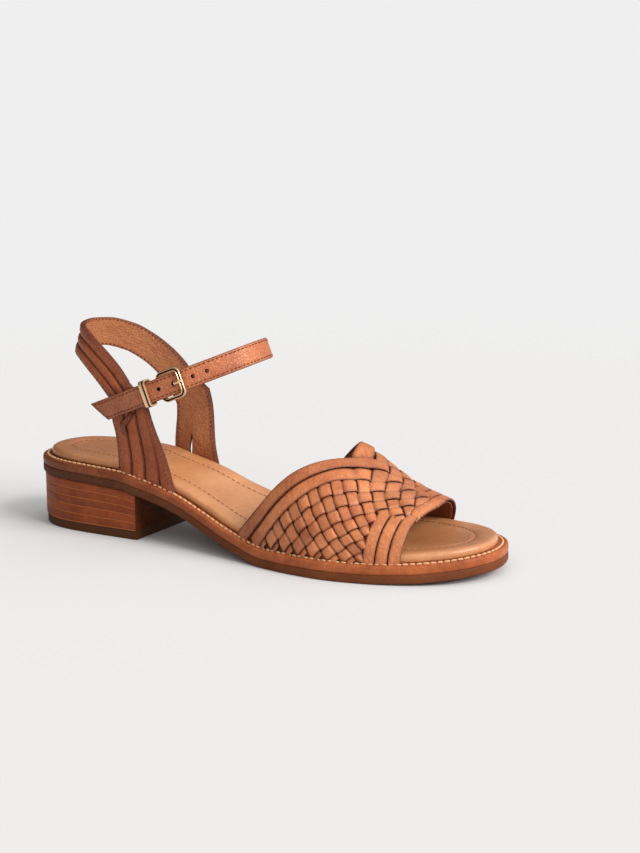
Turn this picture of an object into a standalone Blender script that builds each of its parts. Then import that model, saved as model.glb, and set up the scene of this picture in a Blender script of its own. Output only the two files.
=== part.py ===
# Woven leather huarache sandal, right shoe, with a low stacked heel.
# Millimetres here, turned to metres where a mesh is made.
# +X points to the toe, +Y to the inner (medial) side, +Z up, floor at z = 0.
# The origin is the middle of the heel's ground face.
import bpy
import math

MM = 0.001

# sole
SOLE_LENGTH = 250.0
BALL_LATERAL = 44.5
BALL_MEDIAL = 45.0
SEAT_HEIGHT = 26.5
TOE_SPRING = 4.0
OUTSOLE_THICK = 4.0
WELT_THICK = 4.2
INSOLE_THICK = 4.0
INSOLE_INSET = 4.8
BOND_GAP = 0.25
FIT_GAP = 0.3

# heel
HEEL_LENGTH = 70.0
HEEL_INSET = 1.0
TOP_LIFT = 5.0
LIFT_COUNT = 5
HEEL_CENTRE = 38.0
SOLE_STATIONS = 44

# upper
WALL = 1.8
STRIP_RISE = 0.7
STRIP_PITCH = 6.2
GROOVE = 0.45
MERGE = 0.06
BUCKET = 4.0

# vamp outline, as shares of the sole's length
VAMP_BACK_SIDE = 0.525
VAMP_BACK_TOP = 0.706
VAMP_FRONT_LATERAL = 0.862
VAMP_FRONT_TOP = 0.870
VAMP_FRONT_MEDIAL = 0.828
# half the girth of the vamp, as a share of the ball's width
VAMP_GIRTH_SHARE = 0.715
CROWN_SKEW_BACK = 3.4
CROWN_SKEW_FRONT = -3.7
CROWN_FULLNESS = 0.88
# how much wider the strips lie over the crown than at the welt
STRIP_FAN = 0.28
TOE_STRIPS = 3
TOE_STRIP_WIDTH = 5.4
TOE_STRIP_END = 0.34

# heel loop and quarters: heights here are above the seat's surface
ANKLE_X = 62.0
HEEL_BACK_LOW = 5.0
HEEL_BACK_HIGH = 26.0
LOOP_RISE = 61.0
LOOP_WIDTH = 14.5
ANKLE_HALF = 29.6

# ankle strap
STRAP_WIDTH = 10.2
STRAP_THICK = 2.1
STRAP_TILT = 21.8
STRAP_CROSS_TILT = 3.6
STRAP_HEIGHT = 36.1
STRAP_X = 75.0
STRAP_FRONT = 54.0
STRAP_TIP = 24.0
STRAP_TIP_CUT = 7.0
STRAP_START = 17.0
STRAP_HOLE = 1.9
HOLE_PITCH = 5.7
BILLET_THICK = 1.2
BILLET_MARGIN = 1.0

# metal
BUCKLE_U = 21.4
BUCKLE_LENGTH = 12.6
BAR_WIDTH = 1.5
BUCKLE_SLACK = 0.5
KEEPER_U = 8.7
KEEPER_WIDTH = 3.4
KEEPER_WALL = 0.9
PRONG_RADIUS = 0.65

# along, lateral, medial: shares of sole length and of the ball half widths
OUTLINE = (
    (0.000, 0.000, 0.000),
    (0.012, 0.290, 0.290),
    (0.040, 0.470, 0.470),
    (0.080, 0.585, 0.580),
    (0.120, 0.630, 0.620),
    (0.200, 0.650, 0.640),
    (0.300, 0.655, 0.585),
    (0.400, 0.690, 0.560),
    (0.500, 0.790, 0.640),
    (0.600, 0.925, 0.840),
    (0.660, 0.980, 0.945),
    (0.720, 1.000, 1.000),
    (0.800, 0.935, 0.995),
    (0.880, 0.790, 0.890),
    (0.940, 0.590, 0.700),
    (0.980, 0.350, 0.430),
    (1.000, 0.000, 0.000),
)

# along, share of the seat height at the outsole's underside
PROFILE = (
    (0.00, 1.000),
    (0.12, 0.975),
    (0.24, 0.925),
    (0.28, 0.850),
    (0.32, 0.770),
    (0.37, 0.650),
    (0.44, 0.400),
    (0.52, 0.140),
    (0.60, 0.000),
    (0.77, 0.000),
    (1.00, 0.000),
)

# along, share of the toe spring
SPRING = (
    (0.00, 0.00),
    (0.77, 0.00),
    (0.84, 0.10),
    (0.92, 0.42),
    (1.00, 1.00),
)

# along, height of the vamp's crown above the insole, share of sole length
CROWN = (
    (0.45, 0.160),
    (0.60, 0.178),
    (0.70, 0.149),
    (0.78, 0.099),
    (0.87, 0.068),
    (0.95, 0.050),
)

# run round the heel as a share of the run to the ankle, share of loop rise
LOOP_LATERAL = (
    (0.00, 1.000),
    (0.25, 0.992),
    (0.50, 0.965),
    (0.66, 0.921),
    (0.82, 0.842),
    (0.94, 0.751),
    (1.06, 0.614),
)
LOOP_MEDIAL = (
    (0.00, 1.000),
    (0.25, 0.987),
    (0.50, 0.929),
    (0.66, 0.850),
    (0.80, 0.748),
    (0.90, 0.645),
    (0.96, 0.562),
)

# share of the leg's height, rear edge and front edge as shares of ANKLE_X
QUARTER_LATERAL = (
    (0.00, 0.968, 1.492),
    (0.35, 0.971, 1.419),
    (0.70, 0.973, 1.347),
    (1.00, 0.960, 1.290),
)
QUARTER_MEDIAL = (
    (0.00, 0.968, 1.400),
    (0.35, 0.962, 1.345),
    (0.70, 0.955, 1.280),
    (1.00, 0.940, 1.222),
)
# where the legs pass into the loop, as a share of the loop's rise
LEG_TOP_LATERAL = 0.472
LEG_TOP_MEDIAL = 0.440
LEG_SLANT = 4.5
LEG_STATIONS = 8
SLIT_HEIGHT = 13.0
SLIT_WIDTH = 1.5

# share of the loop's rise, half width of the ankle as a share of ANKLE_HALF
ANKLE = (
    (0.00, 0.93),
    (0.40, 0.97),
    (0.67, 1.00),
    (1.00, 0.93),
    (1.26, 0.88),
)
# share of the loop's rise by which the quarter leaves the sole's outline
ANKLE_FULL = 0.44


def lerp(a, b, t):
    return a + (b - a) * t


def smooth(table, column, x):
    """Monotone cubic through the named column of a table."""
    n = len(table)
    xs = [row[0] for row in table]
    ys = [row[column] for row in table]
    if x <= xs[0]:
        return ys[0]
    if x >= xs[-1]:
        return ys[-1]
    slopes = []
    for i in range(n - 1):
        slopes.append((ys[i + 1] - ys[i]) / (xs[i + 1] - xs[i]))
    k = 0
    while x > xs[k + 1]:
        k += 1

    def tangent(i):
        if i == 0:
            return slopes[0]
        if i == n - 1:
            return slopes[-1]
        a = slopes[i - 1]
        b = slopes[i]
        if a * b <= 0.0:
            return 0.0
        return 2.0 * a * b / (a + b)

    h = xs[k + 1] - xs[k]
    t = (x - xs[k]) / h
    m0 = tangent(k) * h
    m1 = tangent(k + 1) * h
    t2 = t * t
    t3 = t2 * t
    value = ys[k] * (2 * t3 - 3 * t2 + 1) + m0 * (t3 - 2 * t2 + t)
    return value + ys[k + 1] * (3 * t2 - 2 * t3) + m1 * (t3 - t2)


def angle_table():
    """The outline against an even angle, so both ends come out round."""
    rows = []
    for along, lateral, medial in OUTLINE:
        q = math.acos(1.0 - 2.0 * along) / math.pi
        rows.append((q, lateral, medial))
    return rows


ANGLES = angle_table()


def edge_point(q, side):
    """Point of the sole's edge at angle share q, side -1 lateral, 1 medial."""
    x = SOLE_LENGTH * (1.0 - math.cos(math.pi * q)) / 2.0
    if side < 0:
        return (x, -BALL_LATERAL * smooth(ANGLES, 1, q))
    return (x, BALL_MEDIAL * smooth(ANGLES, 2, q))


def inset_point(q, side, inset):
    d = 0.002
    a = edge_point(max(q - d, 0.0), side)
    b = edge_point(min(q + d, 1.0), side)
    tx = b[0] - a[0]
    ty = b[1] - a[1]
    n = math.hypot(tx, ty)
    x, y = edge_point(q, side)
    if q <= d:
        return (x + inset, 0.0)
    if q >= 1.0 - d:
        return (x - inset, 0.0)
    return (x + side * ty / n * inset, y - side * tx / n * inset)


def floor_line(x):
    """Height of the outsole's underside."""
    s = x / SOLE_LENGTH
    s = min(max(s, 0.0), 1.0)
    return SEAT_HEIGHT * smooth(PROFILE, 1, s) + TOE_SPRING * smooth(SPRING, 1, s)


def welt_under(x):
    return floor_line(x) + OUTSOLE_THICK + BOND_GAP


def welt_top(x):
    return welt_under(x) + WELT_THICK


def insole_under(x):
    return welt_top(x) + BOND_GAP


SEAT = insole_under(0.0)


def make_side(inset):
    """Table of the edge moved in by inset: x against y, per side."""
    tables = {}
    for side in (-1, 1):
        rows = []
        last = -1.0e9
        for i in range(0, 201):
            x, y = inset_point(i / 200.0, side, inset)
            if x > last + 0.2:
                rows.append((x, abs(y)))
                last = x
        tables[side] = rows
    return tables


FIT_SIDE = make_side(INSOLE_INSET - FIT_GAP)


def side_y(x, side):
    """Where the upper stands beside the insole."""
    rows = FIT_SIDE[side]
    for i in range(len(rows) - 1):
        if x <= rows[i + 1][0]:
            a = rows[i]
            b = rows[i + 1]
            t = (x - a[0]) / (b[0] - a[0])
            return lerp(a[1], b[1], min(max(t, 0.0), 1.0))
    return rows[-1][1]


def material(name, colour, rough, metal):
    mat = bpy.data.materials.new(name)
    mat.use_nodes = True
    node = mat.node_tree.nodes["Principled BSDF"]
    node.inputs["Base Color"].default_value = (colour[0], colour[1], colour[2], 1.0)
    node.inputs["Roughness"].default_value = rough
    node.inputs["Metallic"].default_value = metal
    return mat


def volume(verts, faces):
    total = 0.0
    for f in faces:
        a = verts[f[0]]
        for i in range(1, len(f) - 1):
            b = verts[f[i]]
            c = verts[f[i + 1]]
            total += a[0] * (b[1] * c[2] - b[2] * c[1])
            total += a[1] * (b[2] * c[0] - b[0] * c[2])
            total += a[2] * (b[0] * c[1] - b[1] * c[0])
    return total / 6.0


def add_mesh(name, verts, faces, mat):
    if volume(verts, faces) < 0.0:
        faces = [tuple(reversed(f)) for f in faces]
    mesh = bpy.data.meshes.new(name)
    points = []
    for v in verts:
        points.append(((v[0] - HEEL_CENTRE) * MM, v[1] * MM, v[2] * MM))
    mesh.from_pydata(points, [], faces)
    mesh.validate()
    mesh.update()
    ob = bpy.data.objects.new(name, mesh)
    bpy.context.scene.collection.objects.link(ob)
    if mat is not None:
        mesh.materials.append(mat)
    return ob


def outline_ring(qs, inset, height, blunt):
    """Ring of points round the sole, with the breast flat where blunt."""
    heel = inset_point(0.0, 1, inset)
    ring = [(heel[0], 0.0, height(heel[0]))]
    body = qs[1:] if blunt else qs[1:-1]
    for q in body:
        x, y = inset_point(q, -1, inset)
        if blunt and q == qs[-1]:
            x = HEEL_LENGTH
        ring.append((x, y, height(x)))
    if not blunt:
        toe = inset_point(1.0, 1, inset)
        ring.append((toe[0], 0.0, height(toe[0])))
    for q in reversed(body):
        x, y = inset_point(q, 1, inset)
        if blunt and q == qs[-1]:
            x = HEEL_LENGTH
        ring.append((x, y, height(x)))
    return ring


def cap_faces(start, count, body, up):
    """Bands of faces from one side to the other over a ring of points."""
    faces = []
    lateral = [start + 1 + i for i in range(body)]
    medial = [start + count - 1 - i for i in range(body)]
    faces.append((start, lateral[0], medial[0]))
    for i in range(body - 1):
        faces.append((lateral[i], lateral[i + 1], medial[i + 1], medial[i]))
    if count == 2 * body + 2:
        toe = start + body + 1
        faces.append((lateral[-1], toe, medial[-1]))
    if up:
        return faces
    return [tuple(reversed(f)) for f in faces]


def slab(name, qs, rings, blunt, mat):
    """Closed slab from rings of (inset, height function), bottom to top."""
    verts = []
    count = 0
    for inset, height in rings:
        ring = outline_ring(qs, inset, height, blunt)
        count = len(ring)
        verts += ring
    body = len(qs) - 1 if blunt else len(qs) - 2
    faces = cap_faces(0, count, body, False)
    for k in range(len(rings) - 1):
        a = k * count
        b = a + count
        for i in range(count):
            j = (i + 1) % count
            faces.append((a + i, a + j, b + j, b + i))
    faces += cap_faces((len(rings) - 1) * count, count, body, True)
    return add_mesh(name, verts, faces, mat)


def raised(base, amount):
    def height(x):
        return base(x) + amount
    return height


def q_at(x):
    return math.acos(1.0 - 2.0 * x / SOLE_LENGTH) / math.pi


def even(a, b, n):
    return [lerp(a, b, i / n) for i in range(n + 1)]


def build_sole(mats):
    qs = even(0.0, 1.0, SOLE_STATIONS)
    slab("outsole", qs, (
        (0.4, floor_line),
        (0.0, raised(floor_line, 0.5)),
        (0.0, raised(floor_line, OUTSOLE_THICK)),
    ), False, mats["rubber"])
    slab("welt", qs, (
        (0.1, welt_under),
        (0.1, raised(welt_under, WELT_THICK - 0.5)),
        (0.6, raised(welt_under, WELT_THICK)),
    ), False, mats["welt"])
    slab("insole", qs, (
        (INSOLE_INSET + 0.5, insole_under),
        (INSOLE_INSET, raised(insole_under, 0.30 * INSOLE_THICK)),
        (INSOLE_INSET, raised(insole_under, 0.65 * INSOLE_THICK)),
        (INSOLE_INSET + 1.2, raised(insole_under, 0.93 * INSOLE_THICK)),
        (INSOLE_INSET + 3.2, raised(insole_under, INSOLE_THICK)),
        (INSOLE_INSET + 8.0, raised(insole_under, 0.97 * INSOLE_THICK)),
        (INSOLE_INSET + 9.4, raised(insole_under, 0.80 * INSOLE_THICK)),
    ), False, mats["insole"])


def lift_plane(share):
    def height(x):
        return lerp(TOP_LIFT, floor_line(x), share)
    return height


def build_heel(mats):
    breast = q_at(HEEL_LENGTH)
    qs = [q for q in even(0.0, 1.0, SOLE_STATIONS) if q < breast - 0.004] + [breast]
    flat = lift_plane(0.0)
    slab("top_lift", qs, (
        (HEEL_INSET + 0.9, raised(flat, -TOP_LIFT)),
        (HEEL_INSET + 0.5, raised(flat, -TOP_LIFT + 0.5)),
        (HEEL_INSET + 0.5, raised(flat, -BOND_GAP)),
    ), True, mats["top_lift"])
    for k in range(LIFT_COUNT):
        low = lift_plane(k / LIFT_COUNT)
        high = lift_plane((k + 1) / LIFT_COUNT)
        slab("heel_lift_%d" % (k + 1), qs, (
            (HEEL_INSET + 0.3, low),
            (HEEL_INSET, raised(low, 0.35)),
            (HEEL_INSET, raised(high, -BOND_GAP - 0.35)),
            (HEEL_INSET + 0.3, raised(high, -BOND_GAP)),
        ), True, mats["heel"])


def vamp_inner(x, s):
    """Inner face of the vamp: s runs -1 lateral welt to 1 medial welt."""
    left = -side_y(x, -1)
    right = side_y(x, 1)
    half = (right - left) / 2.0
    mid = (right + left) / 2.0
    base = insole_under(x) + BOND_GAP
    crown = base + SOLE_LENGTH * smooth(CROWN, 1, x / SOLE_LENGTH)
    phi = math.pi * (s + STRIP_FAN * s * (1.0 - abs(s)) + 1.0) / 2.0
    arch = max(math.sin(phi), 0.0) ** CROWN_FULLNESS
    reach = abs(math.cos(phi)) ** 0.8
    if phi > math.pi / 2.0:
        reach = -reach
    along = (x / SOLE_LENGTH - VAMP_BACK_SIDE) / (VAMP_FRONT_TOP - VAMP_BACK_SIDE)
    skew = lerp(CROWN_SKEW_BACK, CROWN_SKEW_FRONT, min(max(along, 0.0), 1.0))
    return (x, mid - half * reach + skew * arch ** 3, base + (crown - base) * arch)


def cross(a, b):
    return (
        a[1] * b[2] - a[2] * b[1],
        a[2] * b[0] - a[0] * b[2],
        a[0] * b[1] - a[1] * b[0],
    )


def unit(a):
    n = math.sqrt(a[0] * a[0] + a[1] * a[1] + a[2] * a[2])
    return (a[0] / n, a[1] / n, a[2] / n)


def minus(a, b):
    return (a[0] - b[0], a[1] - b[1], a[2] - b[2])


def plus(a, b, k):
    return (a[0] + b[0] * k, a[1] + b[1] * k, a[2] + b[2] * k)


def vamp_point(x, s, out):
    s = min(max(s, -1.0), 1.0)
    inside = min(max(s, -0.985), 0.985)
    px = minus(vamp_inner(x + 0.5, inside), vamp_inner(x - 0.5, inside))
    ps = minus(vamp_inner(x, inside + 0.01), vamp_inner(x, inside - 0.01))
    n = unit(cross(px, ps))
    if s < -0.9 or s > 0.9:
        k = (abs(s) - 0.9) / 0.1
        n = unit((n[0], n[1], n[2] * (1.0 - k)))
    return plus(vamp_inner(x, s), n, out)


def vamp_front(s):
    side = VAMP_FRONT_LATERAL if s < 0.0 else VAMP_FRONT_MEDIAL
    return SOLE_LENGTH * lerp(VAMP_FRONT_TOP, side, abs(s))


def vamp_back(s):
    return SOLE_LENGTH * lerp(VAMP_BACK_TOP, VAMP_BACK_SIDE, abs(s))


VAMP_GIRTH = VAMP_GIRTH_SHARE * (BALL_LATERAL + BALL_MEDIAL)
BACK_RUN = SOLE_LENGTH * (VAMP_BACK_TOP - VAMP_BACK_SIDE)
BACK_SLANT = math.hypot(BACK_RUN, VAMP_GIRTH)


def clip(poly, keep):
    """Part of a polygon of (x, s, rise) points where keep(x, s) >= 0."""
    out = []
    n = len(poly)
    for i in range(n):
        a = poly[i]
        b = poly[(i + 1) % n]
        da = keep(a[0], a[1])
        db = keep(b[0], b[1])
        if da >= 0.0:
            out.append(a)
        if da * db < 0.0:
            t = da / (da - db)
            out.append((lerp(a[0], b[0], t), lerp(a[1], b[1], t), lerp(a[2], b[2], t)))
    return out


def half_plane(a, b):
    """Signed side of the line a to b, in (x, s)."""
    def keep(x, s):
        return (b[0] - a[0]) * (s - a[1]) - (b[1] - a[1]) * (x - a[0])
    return keep


def region(points):
    """Half planes of a convex region given anticlockwise in (x, s)."""
    planes = []
    for i in range(len(points)):
        planes.append(half_plane(points[i], points[(i + 1) % len(points)]))
    return planes


def weave_regions():
    """The vamp's outline in convex parts: woven ones, then toe strips."""
    band = TOE_STRIPS * TOE_STRIP_WIDTH
    end = TOE_STRIP_END
    woven = []
    for side in (-1.0, 1.0):
        centre = [
            (vamp_back(0.0), 0.0),
            (vamp_front(0.0), 0.0),
            (vamp_front(side * end), side * end),
            (vamp_back(side * end), side * end),
        ]
        outer = [
            (vamp_back(side * end), side * end),
            (vamp_front(side * end) - band, side * end),
            (vamp_front(side) - band, side),
            (vamp_back(side), side),
        ]
        for part in (centre, outer):
            if side < 0.0:
                part.reverse()
            woven.append(region(part))
    return woven


def lattice_point(b, a):
    """Domain point from the distances to the two back edges."""
    x = vamp_back(0.0) + (a + b) * BACK_SLANT / (2.0 * VAMP_GIRTH)
    g = (a - b) * BACK_SLANT / (2.0 * BACK_RUN)
    return (x, g / VAMP_GIRTH)


def weave_cells():
    """Every cell of the weave as small faces: (outer faces, whole cell)."""
    cells = []
    p = STRIP_PITCH
    reach = int(1.3 * BACK_SLANT / p) + 2
    for i in range(-reach, reach):
        for j in range(-reach, reach):
            if i < 0 and j < 0:
                continue
            edge_b = 0 <= i < 2 and j < 0
            edge_a = 0 <= j < 2 and i < 0
            corner = []
            for u, v in ((0, 0), (1, 0), (1, 1), (0, 1)):
                x, s = lattice_point((i + u) * p, (j + v) * p)
                corner.append((x, s, 0.0))
            low = 0.0
            high = STRIP_RISE
            g = GROOVE / p
            faces = []
            if edge_b or edge_a:
                us = (0.0, g, 1.0 - g, 1.0)
                hs = (low, high, high, low)
                for k in range(3):
                    quad = []
                    for u, v, h in (
                        (us[k], 0.0, hs[k]),
                        (us[k + 1], 0.0, hs[k + 1]),
                        (us[k + 1], 1.0, hs[k + 1]),
                        (us[k], 1.0, hs[k]),
                    ):
                        if edge_a:
                            x, s = lattice_point((i + v) * p, (j + u) * p)
                        else:
                            x, s = lattice_point((i + u) * p, (j + v) * p)
                        quad.append((x, s, h))
                    if edge_a:
                        quad.reverse()
                    faces.append(quad)
            else:
                over_b = (i + j) % 2 == 1
                du = g if over_b else 2.6 * g
                dv = 2.6 * g if over_b else g
                inner = []
                for u, v in ((du, dv), (1 - du, dv), (1 - du, 1 - dv), (du, 1 - dv)):
                    x, s = lattice_point((i + u) * p, (j + v) * p)
                    inner.append((x, s, high))
                faces.append(inner)
                for k in range(4):
                    m = (k + 1) % 4
                    faces.append([corner[k], corner[m], inner[m], inner[k]])
            cells.append((faces, corner))
    return cells


def toe_strip_faces():
    """The strips that run round the toe edge, on each side of the weave."""
    outer = []
    whole = []
    steps = 9
    g = GROOVE
    w = TOE_STRIP_WIDTH
    for side in (-1.0, 1.0):
        for n in range(steps):
            sa = side * lerp(TOE_STRIP_END, 1.0, n / steps)
            sb = side * lerp(TOE_STRIP_END, 1.0, (n + 1) / steps)
            for k in range(TOE_STRIPS):
                offs = (k * w, k * w + g, (k + 1) * w - g, (k + 1) * w)
                hs = (0.0, STRIP_RISE, STRIP_RISE, 0.0)
                if k == 0:
                    hs = (0.35 * STRIP_RISE, STRIP_RISE, STRIP_RISE, 0.0)
                for m in range(3):
                    quad = [
                        (vamp_front(sa) - offs[m], sa, hs[m]),
                        (vamp_front(sa) - offs[m + 1], sa, hs[m + 1]),
                        (vamp_front(sb) - offs[m + 1], sb, hs[m + 1]),
                        (vamp_front(sb) - offs[m], sb, hs[m]),
                    ]
                    if side > 0.0:
                        quad.reverse()
                    outer.append(quad)
            for k in range(TOE_STRIPS):
                whole.append([
                    (vamp_front(sa) - k * w, sa, 0.0),
                    (vamp_front(sa) - (k + 1) * w, sa, 0.0),
                    (vamp_front(sb) - (k + 1) * w, sb, 0.0),
                    (vamp_front(sb) - k * w, sb, 0.0),
                ])
    return outer, whole


def area(poly):
    total = 0.0
    n = len(poly)
    for i in range(n):
        a = poly[i]
        b = poly[(i + 1) % n]
        total += a[0] * b[1] - b[0] * a[1]
    return total * VAMP_GIRTH / 2.0


class Points:
    """Points of the flat domain, those closer than MERGE taken as one."""

    def __init__(self):
        self.spots = []
        self.parent = []
        self.cells = {}

    def add(self, p):
        k = len(self.spots)
        self.spots.append(p)
        self.parent.append(k)
        cx = int(p[0] // MERGE)
        cs = int(p[1] * VAMP_GIRTH // MERGE)
        for dx in (-1, 0, 1):
            for ds in (-1, 0, 1):
                for m in self.cells.get((cx + dx, cs + ds), ()):
                    q = self.spots[m]
                    if math.hypot(p[0] - q[0], (p[1] - q[1]) * VAMP_GIRTH) < MERGE:
                        self.parent[self.find(k)] = self.find(m)
        self.cells.setdefault((cx, cs), []).append(k)
        return k

    def find(self, k):
        while self.parent[k] != k:
            k = self.parent[k]
        return k

    def rises(self):
        """Highest rise of the points taken as one."""
        top = {}
        for k, p in enumerate(self.spots):
            m = self.find(k)
            top[m] = max(top.get(m, 0.0), p[2])
        return top


def wound(poly):
    """The polygon turned anticlockwise."""
    if area(poly) < 0.0:
        return list(reversed(poly))
    return poly


def simple_loops(ids):
    """A ring of points parted into rings that pass no point twice."""
    loops = []
    stack = []
    for k in ids:
        if k in stack:
            at = stack.index(k)
            loops.append(stack[at:])
            stack = stack[:at]
        stack.append(k)
    loops.append(stack)
    return [ring for ring in loops if len(ring) > 2]


def merged(points, polys):
    """Faces over the merged points, without those that shrank to a line."""
    faces = []
    for ids in polys:
        faces += simple_loops([points.find(k) for k in ids])
    return faces


def joined(points, faces, extra):
    """Puts every used point that lies on an edge into that edge."""
    for turn in range(4):
        done = joined_once(points, faces, extra)
        if done == faces:
            break
        faces = done
    return faces


def joined_once(points, faces, extra):
    used = set(extra)
    for ids in faces:
        used.update(ids)
    buckets = {}
    for k in used:
        p = points.spots[k]
        key = (int(p[0] // BUCKET), int(p[1] * VAMP_GIRTH // BUCKET))
        buckets.setdefault(key, []).append(k)
    done = []
    for ids in faces:
        out = []
        n = len(ids)
        for i in range(n):
            out.append(ids[i])
            out += between(points, ids[i], ids[(i + 1) % n], buckets)
        done += simple_loops(out)
    return done


def between(points, a, b, buckets):
    ax = points.spots[a][0]
    ag = points.spots[a][1] * VAMP_GIRTH
    bx = points.spots[b][0]
    bg = points.spots[b][1] * VAMP_GIRTH
    length = math.hypot(bx - ax, bg - ag)
    found = []
    x0 = int((min(ax, bx) - MERGE) // BUCKET)
    x1 = int((max(ax, bx) + MERGE) // BUCKET)
    g0 = int((min(ag, bg) - MERGE) // BUCKET)
    g1 = int((max(ag, bg) + MERGE) // BUCKET)
    for i in range(x0, x1 + 1):
        for j in range(g0, g1 + 1):
            for k in buckets.get((i, j), ()):
                if k == a or k == b:
                    continue
                dx = points.spots[k][0] - ax
                dg = points.spots[k][1] * VAMP_GIRTH - ag
                t = (dx * (bx - ax) + dg * (bg - ag)) / length
                off = abs(dx * (bg - ag) - dg * (bx - ax)) / length
                if 0.0 < t < length and off < MERGE:
                    found.append((t, k))
    found.sort()
    return [k for t, k in found]


def rim_of(faces):
    """Directed edges that only one face has."""
    seen = set()
    for ids in faces:
        for i in range(len(ids)):
            seen.add((ids[i], ids[(i + 1) % len(ids)]))
    return [e for e in sorted(seen) if (e[1], e[0]) not in seen]


def build_vamp(mats):
    points = Points()
    outer = []
    inner = []
    woven = weave_regions()

    def place(polys, poly, planes):
        for keep in planes:
            poly = clip(poly, keep)
            if len(poly) < 3:
                return
        polys.append([points.add(q) for q in wound(poly)])

    for faces, corner in weave_cells():
        for planes in woven:
            for poly in faces:
                place(outer, poly, planes)
            place(inner, corner, planes)
    strips, whole = toe_strip_faces()
    for poly in strips:
        place(outer, poly, ())
    for poly in whole:
        place(inner, poly, ())
    rise = points.rises()
    outer = merged(points, outer)
    inner = merged(points, inner)
    # each sheet's rim goes into the other one, so that both close
    inner_rim = [a for a, b in rim_of(joined(points, inner, ()))]
    outer = joined(points, outer, inner_rim)
    rim = rim_of(outer)
    inner = joined(points, inner, [a for a, b in rim])
    verts = []
    faces = []
    number = {}

    def vert(k, out):
        if (k, out) not in number:
            number[(k, out)] = len(verts)
            x, s = points.spots[k][:2]
            lift = WALL + rise[k] if out else 0.0
            verts.append(vamp_point(x, s, lift))
        return number[(k, out)]

    for ids in outer:
        faces.append(tuple(vert(k, True) for k in ids))
    for ids in inner:
        faces.append(tuple(vert(k, False) for k in reversed(ids)))
    for a, b in rim:
        faces.append((vert(b, True), vert(a, True), vert(a, False), vert(b, False)))
    return add_mesh("vamp", verts, faces, mats["upper"])


def ankle_half(x, turn, z, side):
    """Half width at height z: the sole's edge low down, the ankle above."""
    rise = (z - SEAT) / LOOP_RISE
    share = min(max(rise / ANKLE_FULL, 0.0), 1.0)
    share = share * share * (3.0 - 2.0 * share)
    high = ANKLE_HALF * smooth(ANKLE, 1, rise) * turn
    if share >= 1.0:
        return high
    return lerp(side_y(x, side), high, share)


def heel_back(z):
    t = (z - SEAT) / LOOP_RISE
    return lerp(HEEL_BACK_LOW, HEEL_BACK_HIGH, min(max(t, 0.0), 1.3))


def ankle_point(r, z, out):
    """Point round the ankle: r is the run from the heel's back, + medial."""
    side = 1 if r >= 0.0 else -1
    a = abs(r)
    if a < ANKLE_X:
        th = a / ANKLE_X * math.pi / 2.0
        depth = ANKLE_X - heel_back(z)
        x = ANKLE_X - depth * math.cos(th)
        y = ankle_half(x, math.sin(th), z, side)
        nx = -math.cos(th) / depth
        ny = math.sin(th) / ANKLE_HALF
        n = math.hypot(nx, ny)
        return (x + nx / n * out, side * (y + ny / n * out), z)
    x = a
    return (x, side * (ankle_half(x, 1.0, z, side) + out), z)


def leg_row(table, top, side, t):
    """One station of a leg of the quarter, t from the welt to the strap."""
    rear = ANKLE_X * smooth(table, 1, t)
    front = ANKLE_X * smooth(table, 2, t)
    foot_rear = ANKLE_X * table[0][1]
    foot_front = ANKLE_X * table[0][2]

    def point(c):
        foot = insole_under(lerp(foot_rear, foot_front, c)) + BOND_GAP
        head = SEAT + LOOP_RISE * top + lerp(-LEG_SLANT, LEG_SLANT, c)
        return (side * lerp(rear, front, c), lerp(foot, head, t))
    return point


def loop_middle(run):
    table = LOOP_LATERAL if run < 0.0 else LOOP_MEDIAL
    return (run * ANKLE_X, SEAT + LOOP_RISE * smooth(table, 1, abs(run)))


def loop_row(run):
    """One station of the loop, square to its middle line."""
    r, z = loop_middle(run)
    a = loop_middle(run - 0.02)
    b = loop_middle(run + 0.02)
    n = math.hypot(b[0] - a[0], b[1] - a[1])
    tr = (b[0] - a[0]) / n
    tz = (b[1] - a[1]) / n

    def point(c):
        w = LOOP_WIDTH * (c - 0.5)
        return (r - tz * w, z + tr * w)
    return point


def quarter_path():
    """Stations of the quarter, each a function of the share across."""
    rows = []
    for i in range(LEG_STATIONS + 1):
        rows.append(leg_row(QUARTER_LATERAL, LEG_TOP_LATERAL, -1, i / LEG_STATIONS))
    low = -LOOP_LATERAL[-1][0]
    high = LOOP_MEDIAL[-1][0]
    for i in range(35):
        rows.append(loop_row(lerp(low, high, i / 34.0)))
    for i in range(LEG_STATIONS + 1):
        rows.append(leg_row(QUARTER_MEDIAL, LEG_TOP_MEDIAL, 1, 1.0 - i / LEG_STATIONS))
    return rows


# grooves between the strips, as shares across: at the welt, then in the loop
GROOVE_LATERAL = ((0.22, 0.333), (0.46, 0.667), (0.73, 0.965))
GROOVE_MEDIAL = ((0.35, 0.333), (0.68, 0.667), (0.965, 0.965))
GROOVE_SHARE = 0.034
# columns of the outer face that bound a strip, and how many there are
QUARTER_EDGES = (0, 3, 6, 9, 12)
QUARTER_OUTER = 13


def quarter_columns(grooves, k):
    """Columns over the strips at a station: (share across, rise)."""
    columns = [(0.0, 0.35), (GROOVE_SHARE, 1.0)]
    for i, (foot, loop) in enumerate(grooves):
        c = lerp(loop, foot, k)
        rise = 1.0 - k if i == 2 else 0.0
        if i == 2 and foot == loop:
            rise = 1.0
        w = GROOVE_SHARE * (0.3 if i == 2 and foot == loop else lerp(0.3, 1.0, k) if i == 2 else 1.0)
        columns.append((c - w, 1.0))
        columns.append((c, rise))
        columns.append((c + w, 1.0))
    columns.append((0.984, 1.0))
    columns.append((1.0, 0.35))
    return columns


def quarter_cap(start, back):
    """End of the wall, one face to each strip, from its outer columns in."""
    faces = []
    last = start + QUARTER_OUTER + len(QUARTER_EDGES) - 1
    for j in range(len(QUARTER_EDGES) - 1):
        outer = range(start + QUARTER_EDGES[j], start + QUARTER_EDGES[j + 1] + 1)
        faces.append(tuple(outer) + (last - j - 1, last - j))
    if back:
        return [tuple(reversed(f)) for f in faces]
    return faces


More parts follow.
